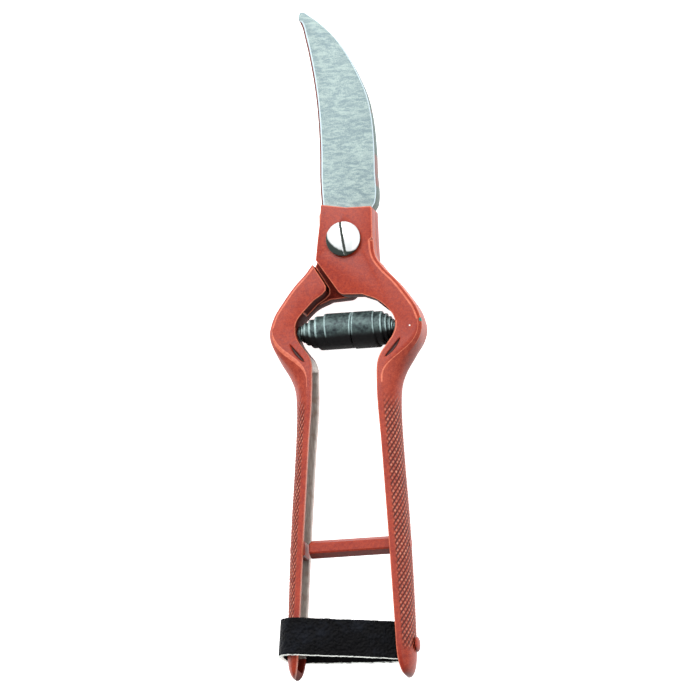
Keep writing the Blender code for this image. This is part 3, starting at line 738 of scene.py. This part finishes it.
# %% One section of the handle
def side_arc(width, half, rounded):
    """The outer side's (x, z, arc length) points: a chamfered square, rounded out by a share."""
    side = []
    arc = 0.0
    for step in range(SIDE_STEPS + 1):
        part = 1 - 2 * step / SIDE_STEPS
        turn = SIDE_START * part
        bulge = (math.cos(turn) - math.cos(SIDE_START)) / (1 - math.cos(SIDE_START))
        round_x = bulge * width
        round_z = half * math.sin(turn) / math.sin(SIDE_START)
        chamfer = max(0.0, (abs(part) - 0.6) / 0.4)
        square_x = width - OUTER_ROUND * chamfer
        square_z = (half - OUTER_ROUND) * min(1.0, abs(part) / 0.6) + OUTER_ROUND * chamfer
        x = square_x + (round_x - square_x) * rounded
        z = math.copysign(square_z, part) + (round_z - math.copysign(square_z, part)) * rounded
        if side:
            arc += math.hypot(x - side[-1][0], z - side[-1][1])
        side.append((x, z, arc))
    return side


def section(y, rear):
    """One ring of (x, z, groove, proud, finish) points, from the front rim and back to it.
    The side that faces the bench is the one at Z with the sign of rear."""
    inner, outer, half = arm_edges(y)
    width = outer - inner
    rounded = smooth_step(0, BREAK_Y - SIDE_FULL_Y, BREAK_Y - y)
    narrow = min(RIM_LAND, width * 0.4)
    land = (width - OUTER_ROUND) + (narrow - width + OUTER_ROUND) * rounded
    ridge = min(INNER_ROUND, half * 0.4, width * 0.2)
    knurl = smooth_step(0, 12 * MM, KNURL_TOP_Y - y) * smooth_step(0, 4 * MM, y - KNURL_END_Y)
    top, bottom = [], []
    for step in range(LAND_STEPS):
        x = inner + ridge + (land - ridge) * step / LAND_STEPS
        crease = crease_depth(x, y)
        # A crease takes the knurl's finish, so its fold darkens with painted shade and dirt.
        finish = KNURLED_FACE if crease > 0 else (PLAIN_FACE if step else EDGE_HIGHLIGHT_FACE)
        fold = 1.3 * crease / CREASE_DEPTH
        top.append((x, half - crease, fold, 0.0, finish))
        if step:
            bottom.append((x, crease - half, fold, 0.0, finish))
    side = side_arc(width - land, half, rounded)
    whole_arc = side[-1][2]
    ring = top
    for index, (x, z, arc) in enumerate(side):
        from_middle = arc - whole_arc / 2
        edge_fade = smooth_step(0, 0.8 * MM, whole_arc / 2 - abs(from_middle) - 0.1 * MM)
        strength = knurl * edge_fade
        deep = groove_at(from_middle, y) * strength if strength > 0 else 0.0
        proud = max(0.0, 1 - 1.8 * groove_at(from_middle, y)) * strength
        push = -KNURL_DEPTH * deep / max(math.hypot(x / max(width - land, MM / 10), z / half), 0.1)
        px = inner + land + x + push * x / max(width - land, MM / 10)
        from_edge = min(index, SIDE_STEPS - index)
        # Painted highlight lines on the side's edges and on one ridge near the bow.
        highlight_line = (y > -50 * MM and from_edge < 2) or (y > -37 * MM and from_edge in (15, 16))
        ring.append((px, z + push * z / half, deep, proud, EDGE_HIGHLIGHT_FACE if highlight_line else KNURLED_FACE))
    ring.append((inner + land, -half, 0.0, 0.0, PLAIN_FACE))
    ring += reversed(bottom)
    opened = smooth_step(0, 1.6 * MM, CHANNEL_TOP_Y - y)
    hollow = opened * smooth_step(0, 1.2 * MM, y - CHANNEL_END_Y)
    lip = max(half - WALL, half * 0.35)
    floor = inner + (max(outer - WALL, inner + ridge * 1.2) - inner) * hollow
    bare = hollow > 0.3 or CHANNEL_TOP_Y - MM < y < CHANNEL_TOP_Y + BARE_ABOVE
    # Painted shade inside the handle wherever the bare channel doesn't show.
    inside = CHANNEL_FACE if bare and y > TIP_FROM_Y - 3 * MM else SHADED_WALL_FACE
    half_ring = rim_and_channel(inner, floor, half, lip, ridge, hollow)
    for sign in (-1, 1):
        # The front rim's face gets painted shade.
        rim = inside if sign == rear else SHADED_WALL_FACE
        points = []
        for place, (x, z) in enumerate(half_ring):
            finish = inside
            # The rim's corner: painted shade on the bench side, a painted highlight on the front.
            if place < RIM_STEPS:
                finish = SHADED_WALL_FACE if sign == rear else EDGE_HIGHLIGHT_FACE
            elif place == RIM_STEPS:
                finish = rim
            points.append((x, sign * z, 0.0, 0.0, finish))
        if sign == -1:
            ring += points
            ring += [(floor, (lip - ridge) * t, 0.0, 0.0, inside) for t in (-0.6, -0.2, 0.2, 0.6)]
        else:
            ring += reversed(points)
    return ring


def rim_and_channel(inner, floor, half, lip, ridge, hollow):
    """Half of the open side's (x, z) points: a rim's edge, its face and its channel wall."""
    eased = ridge * hollow
    corner = quarter_turn(RIM_STEPS)
    points = [(inner + ridge * s, half - ridge * c) for s, c in corner[1:]]
    points += [(inner + eased * c, lip + ridge * s) for s, c in corner]
    for step in range(1, FLOOR_STEPS + 1):
        points.append((inner + eased + (floor - inner - 2 * eased) * step / FLOOR_STEPS, lip))
    return points + [(floor - eased * s, lip - ridge * c) for s, c in corner[1:]]


def handle_rows():
    """Heights of the sections: fine on the bow, finer on the knurl, and drawn in at the tip."""
    rows = []
    y = BREAK_Y
    while y > TIP_FROM_Y:
        rows.append(y)
        y -= 0.4 * MM if y > KNURL_TOP_Y + 0.5 * MM else 0.24 * MM
    for step in range(TIP_STEPS + 1):
        along = math.sin(math.pi / 2 * step / TIP_STEPS)
        rows.append(TIP_FROM_Y + (TIP.y - TIP_FROM_Y) * along)
    return rows


print(len(section(-0.09, -1)), "points round the handle,", len(handle_rows()), "sections along it")

# %% [markdown]
# ## From sections to a handle
# A flat grid is bent to shape: its columns go round a section and its rows go down the handle.
# Merging the first and last columns closes the seam. The left handle is drawn in a little.

# %% A handle from its sections
def handle(turned_over):
    rows = handle_rows()
    rings = [section(y, 1 if turned_over else -1) for y in rows]
    count = len(rings[0])
    bm, points, groove, raised = rolled(count, len(rows) - 1, "groove", "proud")
    for face in bm.faces:
        centre = face.calc_center_median()
        column = int((centre.x + 0.5) * count)
        row = int((centre.y + 0.5) * (len(rows) - 1))
        face.material_index = rings[row][column][4]
    shorter, narrower = (LEFT_SHORTER, LEFT_NARROWER) if turned_over else (0.0, 0.0)
    for vert, column, row in points:
        x, z, deep, proud, _ = rings[row][column]
        lift = shorter * smooth_step(0, 15 * MM, -135 * MM - rows[row])
        inner, outer, _ = arm_edges(rows[row])
        squeeze = narrower * smooth_step(0, 8 * MM, -38 * MM - rows[row])
        vert.co = (x + squeeze * (outer - x) / (outer - inner), rows[row] + lift, z)
        vert[groove] = deep
        vert[raised] = proud
    bmesh.ops.remove_doubles(bm, verts=bm.verts, dist=0.0004 * MM)
    bmesh.ops.holes_fill(bm, edges=bm.edges, sides=0)
    return bm


def placed(bm, turned_over):
    """Moves an arm's piece from its own frame, with the lap at Z = 0, into the tool's."""
    turn = Matrix.Rotation(math.pi if turned_over else 0.0, 4, "Y")
    bmesh.ops.transform(bm, verts=bm.verts, matrix=Matrix.Translation((0, 0, LAP_Z)) @ turn)
    return bm


ARMS = (("cutting_arm", False), ("counter_arm", True))
for body, turned_over in ARMS:
    finishes = [ENAMEL, EDGE_HIGHLIGHT_ENAMEL, SHADED_WALL_ENAMEL, NOTCH_SHADE_ENAMEL]
    plate = placed(plate_and_bow(turned_over), turned_over)
    piece(plate, body + "_plate", finishes, body, body)
    finishes = [ENAMEL, KNURLED_ENAMEL, CHANNEL, EDGE_HIGHLIGHT_ENAMEL, SHADED_WALL_ENAMEL]
    grip = placed(handle(turned_over), turned_over)
    piece(grip, body + "_handle", finishes, body, body, angle=50)

# %% [markdown]
# ## Blades
# A blade is a smooth closed outline made a plate that thins evenly to its tip. Its side is
# dark, the spine keeps a thread of enamel where the grinding stopped short, and both faces
# are ground bright. So the faces of the mesh are sorted by where they look.

# %% Blades
BLADE = (
    (-7.6, 4), (-8.1, 12.4), (-8.6, 20), (-8.7, 32), (-9.2, 43), (-10.2, 53),
    (-12.2, 65), (-14.2, 74), (-15.4, 79.8), (-14.4, 80.4), (-12, 79), (-7.2, 75.1),
    (-2.6, 70.1), (1.6, 63.6), (5, 57), (7.8, 50), (9.4, 42.6), (10.2, 34),
    (10.45, 24), (10.4, 12.4), (9.4, 10.6), (9.2, 9.6), (9.2, 4),
)
BLADE_ROOT, BLADE_TIP = 3.3 * MM, 1.7 * MM
BLADE_TIP_Y = 80.4 * MM
BLADE_MIDDLE = Vector((-1.0, 40.0))
REAR_INSET = 0.3 * MM
SPINE_BEVEL, RIM_BEVEL = 0.95 * MM, 0.26 * MM
SPINE_END_Y = 77.5 * MM


def blade_outline(inset):
    """The blade's outline, smooth but for its first and last points, drawn in by an inset."""
    curve = bpy.data.curves.new("blade", "CURVE")
    curve.dimensions = "2D"
    curve.resolution_u = 10
    spline = curve.splines.new("BEZIER")
    spline.bezier_points.add(len(BLADE) - 1)
    for index, (point, pair) in enumerate(zip(spline.bezier_points, BLADE)):
        inward = (BLADE_MIDDLE - Vector(pair)).normalized() * inset / MM
        place = (Vector(pair) + inward) * MM
        point.co = (place.x, place.y, 0)
        kind = "VECTOR" if index in (0, len(BLADE) - 1) else "AUTO"
        point.handle_left_type = kind
        point.handle_right_type = kind
    spline.use_cyclic_u = True
    holder = linked("blade_outline", curve)
    bpy.context.view_layer.update()
    mesh = holder.to_mesh()
    points = [vert.co.xy.copy() for vert in mesh.vertices]
    holder.to_mesh_clear()
    bpy.data.objects.remove(holder, do_unlink=True)
    return points


def blade(inset):
    """A blade over the lap's plane, with its spine, face and edge told apart."""
    bm = block(blade_outline(inset), 0.0, BLADE_ROOT)
    slope = (BLADE_TIP - BLADE_ROOT) / (BLADE_TIP_Y - PLATE_TOP)
    for vert in bm.verts:
        if vert.co.z > MM:
            vert.co.z += slope * (vert.co.y - PLATE_TOP)
        else:
            vert.co.z = LAP_GAP
    top = [e for e in bm.edges if all(v.co.z > MM and v.co.y > 5 * MM for v in e.verts)]
    spine = [e for e in top if is_spine(e) and max(v.co.y for v in e.verts) < SPINE_END_Y]
    other = [e for e in top if e not in spine]
    painted = set(bevelled(bm, spine, SPINE_BEVEL))
    for face in bm.faces:
        ground = abs(face.normal.z) > 0.5 and face not in painted
        enamelled = face in painted or face.normal.x < -0.5
        face.material_index = 0 if ground else (2 if enamelled else 1)
    rims = [e for e in other if e.is_valid]
    rims += [
        e for e in bm.edges
        if sorted(f.material_index for f in e.link_faces) == [0, 2] and e not in rims
        and min(v.co.z for v in e.verts) > MM
    ]
    # The narrow rim bevels take the light steel as a painted highlight along the ground face's edges.
    bevelled(bm, rims, RIM_BEVEL, material=3)
    return bm


def is_spine(edge):
    middle = (edge.verts[0].co + edge.verts[1].co) / 2
    return middle.x < -7.0 * MM - max(0.0, middle.y - 45 * MM) * 0.19


def one_blade(turned_over):
    """The counter arm's blade is drawn mirrored, so that turning it over puts it behind the other."""
    bm = blade(REAR_INSET if turned_over else 0.0)
    if turned_over:
        bmesh.ops.scale(bm, vec=(-1, 1, 1), verts=bm.verts)
    return placed(bm, turned_over)


for body, turned_over in ARMS:
    finishes = [GROUND, EDGE, SPINE_ENAMEL, RIM_HIGHLIGHT_STEEL]
    steel = piece(one_blade(turned_over), body + "_blade", finishes, body, body, angle=25)

# %% [markdown]
# ## Volute spring
# The spring is two cones of flat strip, wound back to back. It is swept as it is wound: one
# small section carried round, its radius falling and its place along the axis growing. It bends
# as the handles open.

# %% Spring
SPRING_Y = -30.4 * MM
COIL_REACH = (8.0, 11.2, 13.2, 14.8, 15.8, 16.0)
COIL_START = (0.15, 0.2, 3.2, 6.0, 8.4, 9.0)
COIL_RADIUS = (6.5, 5.9, 5.0, 3.95, 3.0, 2.7)
STRIP_HALF_THICKNESS = 0.36 * MM
TURNS = 4.6
COIL_SHADE_TURN = math.radians(62)
STEPS_A_TURN = 64
MIDDLE_SHIFT = 2.1 * MM
COIL_REACH_MOST = 16 * MM
STRIP_SECTION = (
    (-1, -0.5), (-1, 0.5), (-0.95, 1), (-0.8, 1), (0, 1), (0.8, 1), (0.95, 1),
    (1, 0.5), (1, -0.5), (0.95, -1), (0, -1), (-0.95, -1),
)


def read_along(table, turn):
    """A table with one entry for each turn, read between its entries."""
    index = min(int(turn), len(table) - 2)
    return (table[index] + (table[index + 1] - table[index]) * (turn - index)) * MM


def volute(side, start_turn):
    """Half of the spring on one side, as a strip with eased edges."""
    rows = round(TURNS * STEPS_A_TURN)
    bm, points, rubbed, shaded_half = rolled(len(STRIP_SECTION), rows, "rubbed", "shaded_half")
    for vert, column, row in points:
        turn = row / STEPS_A_TURN
        reach = read_along(COIL_REACH, turn)
        radius = read_along(COIL_RADIUS, turn) - STRIP_HALF_THICKNESS
        along, out = STRIP_SECTION[column]
        width = reach - read_along(COIL_START, turn)
        x = side * (reach - width / 2 + along * width / 2)
        angle = start_turn + side * turn * 2 * math.pi
        r = radius + out * STRIP_HALF_THICKNESS
        x += MIDDLE_SHIFT * (1 - (x / COIL_REACH_MOST) ** 2)
        vert.co = (x, SPRING_Y + r * math.cos(angle), r * math.sin(angle))
        vert[rubbed] = 1.0 if abs(along) > 0.9 else 0.0
        # Painted shade on the side of each turn that faces down and towards the near side.
        vert[shaded_half] = 0.5 - 0.5 * math.sin(angle + COIL_SHADE_TURN)
    bmesh.ops.remove_doubles(bm, verts=bm.verts, dist=0.001 * MM)
    bmesh.ops.holes_fill(bm, edges=bm.edges, sides=0)
    return bm


def joined(*parts):
    """Several meshes as one; each part stays a shell of its own."""
    whole = bmesh.new()
    for part in parts:
        mesh = bpy.data.meshes.new("part")
        outwards(part)
        part.to_mesh(mesh)
        part.free()
        whole.from_mesh(mesh)
        bpy.data.meshes.remove(mesh)
    return whole


bm = joined(volute(-1, 2.6), volute(1, 0.5))
bmesh.ops.translate(bm, verts=bm.verts, vec=(0, 0, LAP_Z))
spring = piece(bm, "volute_spring_strip", [BLUED], None, "volute_spring", angle=50)
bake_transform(spring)

# %% [markdown]
# ## Strap
# The strap is one band of leather, 12.7 mm wide, that goes round the left handle and in at the
# right handle's channel. A grid rolled to the band's section makes it: the section has rounded
# edges, and wanders a little, as hide does. Its front edge shows the raw cut.

# %% Strap
STRAP_WIDTH, STRAP_THICKNESS = 12.7 * MM, 1.8 * MM
STRAP_EDGE_ROUND = 0.45 * MM
STRAP_ROW = 0.55 * MM
ACROSS_STEPS, ROUND_STEPS = 24, 5
STRAP_PLACE = Vector((0, -137.0 * MM, LAP_Z))
STRAP_TURN = math.radians(-4.3)
STRAP_PATH = (
    (-23.72, 0), (-23.55, 2.6), (-22.8, 5), (-21.3, 6.9), (-19.4, 7.62), (-17.8, 7.7),
    (-12, 7.05), (-4, 6.1), (4, 5.05), (10, 4.15), (14.2, 3.2), (16.6, 2.75),
    (17.55, 2.1), (17.72, 1), (17.72, 0),
)


def strap_centre_line():
    """Points (x, z) all the way round the loop, close together."""
    upper = [Vector(pair) * MM for pair in STRAP_PATH]
    lower = [Vector((p.x, -p.y)) for p in reversed(upper[1:-1])]
    loop = upper + lower
    smooth = []
    for i in range(len(loop)):
        a, b, c, d = (loop[(i + k) % len(loop)] for k in (-1, 0, 1, 2))
        pieces = max(2, round((c - b).length / STRAP_ROW))
        for step in range(pieces):
            t = step / pieces
            bend = (2 * a - 5 * b + 4 * c - d) * t**2 + (3 * b - a - 3 * c + d) * t**3
            smooth.append(0.5 * (2 * b + (c - a) * t + bend))
    return smooth


def strap_section():
    """The band's section as (y, z) points: its face and one edge, then the same turned over."""
    side, half, soft = STRAP_WIDTH / 2, STRAP_THICKNESS / 2, STRAP_EDGE_ROUND
    ring = [
        (-side + soft + (STRAP_WIDTH - 2 * soft) * step / ACROSS_STEPS, half)
        for step in range(ACROSS_STEPS + 1)
    ]
    ring += [(side - soft * s, half - soft * c) for s, c in quarter_turn(ROUND_STEPS)[1:-1]]
    ring += [(side, half * 0.4), (side, -half * 0.4), (side - 0.1 * MM, -half + 0.08 * MM)]
    return ring + [(-y, -z) for y, z in ring]


def strap_band():
    """The strap as one closed band, a little uneven, with its front edge's cut told apart."""
    line = strap_centre_line()
    count = len(line)
    ring = strap_section()
    bm, points = rolled(len(ring), count)
    for vert, column, row in points:
        y, z = ring[column]
        before, here, after = (line[(row + k) % count] for k in (-1, 0, 1))
        along = (after - before).normalized()
        out = Vector((-along.y, along.x))
        if out.dot(here - Vector((2 * MM, 0))) < 0:
            out = -out
        wander = noise(Vector((here.x, y * 0.3, here.y)) * 260) * 0.09 * MM
        ragged = noise(Vector((here.x, y, here.y)) * 1300) * 0.14 * MM
        ragged = ragged if abs(y) > STRAP_WIDTH * 0.47 else 0
        grain = noise(Vector((here.x, y, here.y)) * 900) * 0.03 * MM
        spot = here + out * (z * 0.98 + wander * 0.6 + grain)
        vert.co = (spot.x, y + ragged + wander, spot.y)
    bmesh.ops.remove_doubles(bm, verts=bm.verts, dist=0.001 * MM)
    outwards(bm)
    for face in bm.faces:
        face.material_index = 1 if face.normal.y < -0.5 else 0
    turn = Matrix.Translation(STRAP_PLACE) @ Matrix.Rotation(STRAP_TURN, 4, "Z")
    bmesh.ops.transform(bm, verts=bm.verts, matrix=turn)
    return bm


strap = piece(strap_band(), "leather_strap", [LEATHER, RAW_EDGE], "cutting_arm", "strap", angle=60)
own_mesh(strap)

# %% [markdown]
# ## Pivot screw, nut and washer
# The screw's head is turned, domed and slotted; the slot is a real cut with softened edges. The
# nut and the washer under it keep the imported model's shape, with their edges eased.

# %% Screw and small parts
HEAD_SEAT = 5.3 * MM
HEAD_RADIUS = 5.9 * MM
SLOT_TURN = math.radians(9)
SLOT_WIDTH, SLOT_DEPTH = 0.8 * MM, 1.2 * MM
SLOT_CUTTER = 4 * MM
HEAD_SIDE, HEAD_DOME = 0.9 * MM, 1.1 * MM
SHANK_RADIUS, SHANK_END = 3.5 * MM, 2.4 * MM
DOME_STEPS = 12


def screw():
    """The whole screw as one turned solid, with the slot's walls and the rim told apart."""
    low, high = HEAD_SEAT, HEAD_SEAT + HEAD_SIDE + HEAD_DOME
    end = -HEAD_SEAT - SHANK_END
    profile = [(0.0, end), (SHANK_RADIUS - 0.3 * MM, end), (SHANK_RADIUS, end + 0.4 * MM)]
    profile += [(SHANK_RADIUS, low), (HEAD_RADIUS - 0.2 * MM, low)]
    profile += [(HEAD_RADIUS, low + 0.2 * MM), (HEAD_RADIUS, low + HEAD_SIDE)]
    for step in range(1, DOME_STEPS + 1):
        turn = math.pi / 2 * step / DOME_STEPS
        radius = HEAD_RADIUS * math.cos(turn) if step < DOME_STEPS else 0.0
        profile.append((radius, low + HEAD_SIDE + HEAD_DOME * math.sin(turn)))
    slot = bmesh.new()
    bmesh.ops.create_cube(slot, size=1.0)
    bmesh.ops.scale(slot, vec=(SLOT_WIDTH, CUT_REACH, SLOT_CUTTER), verts=slot.verts)
    bmesh.ops.rotate(slot, matrix=Matrix.Rotation(SLOT_TURN, 3, "Z"), verts=slot.verts)
    bmesh.ops.translate(slot, vec=(0, 0, high - SLOT_DEPTH + SLOT_CUTTER / 2), verts=slot.verts)
    bm = cut(turned(profile, steps=96), slot)
    across = Vector((math.cos(SLOT_TURN), math.sin(SLOT_TURN), 0))
    # Painted shade: the slot's walls and floor and the head's side take the dark steel.
    for face in bm.faces:
        centre = face.calc_center_median()
        wall = abs(centre.dot(across)) < SLOT_WIDTH * 0.55
        wall = wall and low + 0.6 * MM < centre.z < high - 0.3 * MM
        rim = abs(face.normal.z) < 0.5 and centre.z < low + HEAD_SIDE
        face.material_index = 1 if wall or rim else 0
    bmesh.ops.remove_doubles(bm, verts=bm.verts, dist=0.002 * MM)
    ease(bm, 0.12 * MM, 2, 35, lambda edge: min(v.co.z for v in edge.verts) > low + 0.7 * MM)
    return placed(bm, False)


pivot_screw = piece(
    screw(), "slotted_pivot_screw", [POLISHED, SLOT_AND_RIM_SHADE], "cutting_arm", "pivot_screw", angle=30
)


def dress(name, finish, width):
    """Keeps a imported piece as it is, eases its edges and gives it a finish."""
    node = frame["nodes"][name]
    node.data.materials.clear()
    node.data.materials.append(finish)
    modifier = node.modifiers.new("eased", "BEVEL")
    modifier.width = width
    modifier.segments = 2
    modifier.limit_method = "ANGLE"
    modifier.angle_limit = math.radians(40)


for name, finish, width in (
    ("pivot_nut", PLATED, 0.2 * MM), ("lock_washer", PLATED, 0.06 * MM),
    ("left_spring_peg", BLUED, 0.1 * MM), ("right_spring_peg", BLUED, 0.1 * MM),
    ("stop_bar", ENAMEL, 0.2 * MM), ("stop_landing", ENAMEL, 0.25 * MM),
    ("strap_rivet", ENAMEL, 0.06 * MM), ("strap_rivet_burr", BRASS, 0.06 * MM),
):
    dress(name, finish, width)
print("the smaller pieces keep their shape and get a finish")

# %% [markdown]
# ## Bench and light
# A white bench and a pale surround make the shadows soft. The main light is a wide soft box up
# and to the left, past the blade's tip, so that right-hand and near sides fall dark.

# %% Bench and light
TOOL_MIDDLE = Vector((0, -0.035, 0.01))
bench = bmesh.new()
bmesh.ops.create_grid(bench, x_segments=1, y_segments=1, size=3.0)
floor = solid("bench", bench)
lit_from_below = {"Roughness": 0.9, "Emission Color": (1, 1, 1, 1), "Emission Strength": 0.9}
bench_finish, bench_shader, start = new_finish("white_bench", lit_from_below)
paper = start.speckle(3, 2.0).painted((0.93, 0.93, 0.93), (0.95, 0.95, 0.95))
feed(bench_shader, {"Base Color": paper})
floor.data.materials.append(bench_finish)


def soft_box(name, place, side, power):
    """A square area lamp aimed at the middle of the tool."""
    lamp = bpy.data.lights.new(name, "AREA")
    lamp.shape = "SQUARE"
    lamp.size = side
    lamp.energy = power
    holder = linked(name, lamp)
    holder.location = place
    aim = TOOL_MIDDLE - Vector(place)
    holder.rotation_euler = aim.to_track_quat("-Z", "Y").to_euler()


soft_box("main_soft_box", (-0.35, 0.85, 1.1), 1.1, 23.0)
soft_box("overhead_fill", (0.7, 0.1, 1.2), 1.2, 5.0)
surround = bpy.data.worlds.new("surround")
surround.use_nodes = True
background = surround.node_tree.nodes["Background"]
background.inputs["Color"].default_value = (1, 1, 1, 1)
background.inputs["Strength"].default_value = 0.6
bpy.context.scene.world = surround
bpy.context.scene.view_settings.view_transform = "Standard"
print("bench, two soft boxes and a pale surround")

# %% [markdown]
# ## Camera
# The camera is far off with a long lens, so that nothing is stretched. It looks down from nearly
# straight above, leaning enough to show the right-hand sides and the left handle's channel.

# %% Camera
LENS = 1200.0
FAR_ENOUGH = 50
FRAME_WIDTH = 232.9 * MM
LEAN, ROLL = math.radians(14), math.radians(0.7)
UPWARDS = (0.0544, 0.9744, 0.2183)
SHIFT_RIGHT, SHIFT_UP = -0.56 * MM, -35.03 * MM
right = Vector((math.cos(LEAN), 0, -math.sin(LEAN)))
up = Vector(UPWARDS).normalized()
centre = Vector((0, 0, LAP_Z)) + right * SHIFT_RIGHT + up * SHIFT_UP
right = (right - up * right.dot(up)).normalized()
side_axis = right * math.cos(ROLL) - up * math.sin(ROLL)
up_axis = right * math.sin(ROLL) + up * math.cos(ROLL)
towards = side_axis.cross(up_axis)
camera_data = bpy.data.cameras.new("camera")
camera_data.lens = LENS
camera_data.clip_end = FAR_ENOUGH
camera = linked("camera", camera_data)
camera.matrix_world = Matrix((side_axis, up_axis, towards)).transposed().to_4x4()
camera.location = centre + towards * (FRAME_WIDTH * LENS / camera_data.sensor_width)
bpy.context.scene.camera = camera
print("camera", [round(v, 3) for v in camera.location])
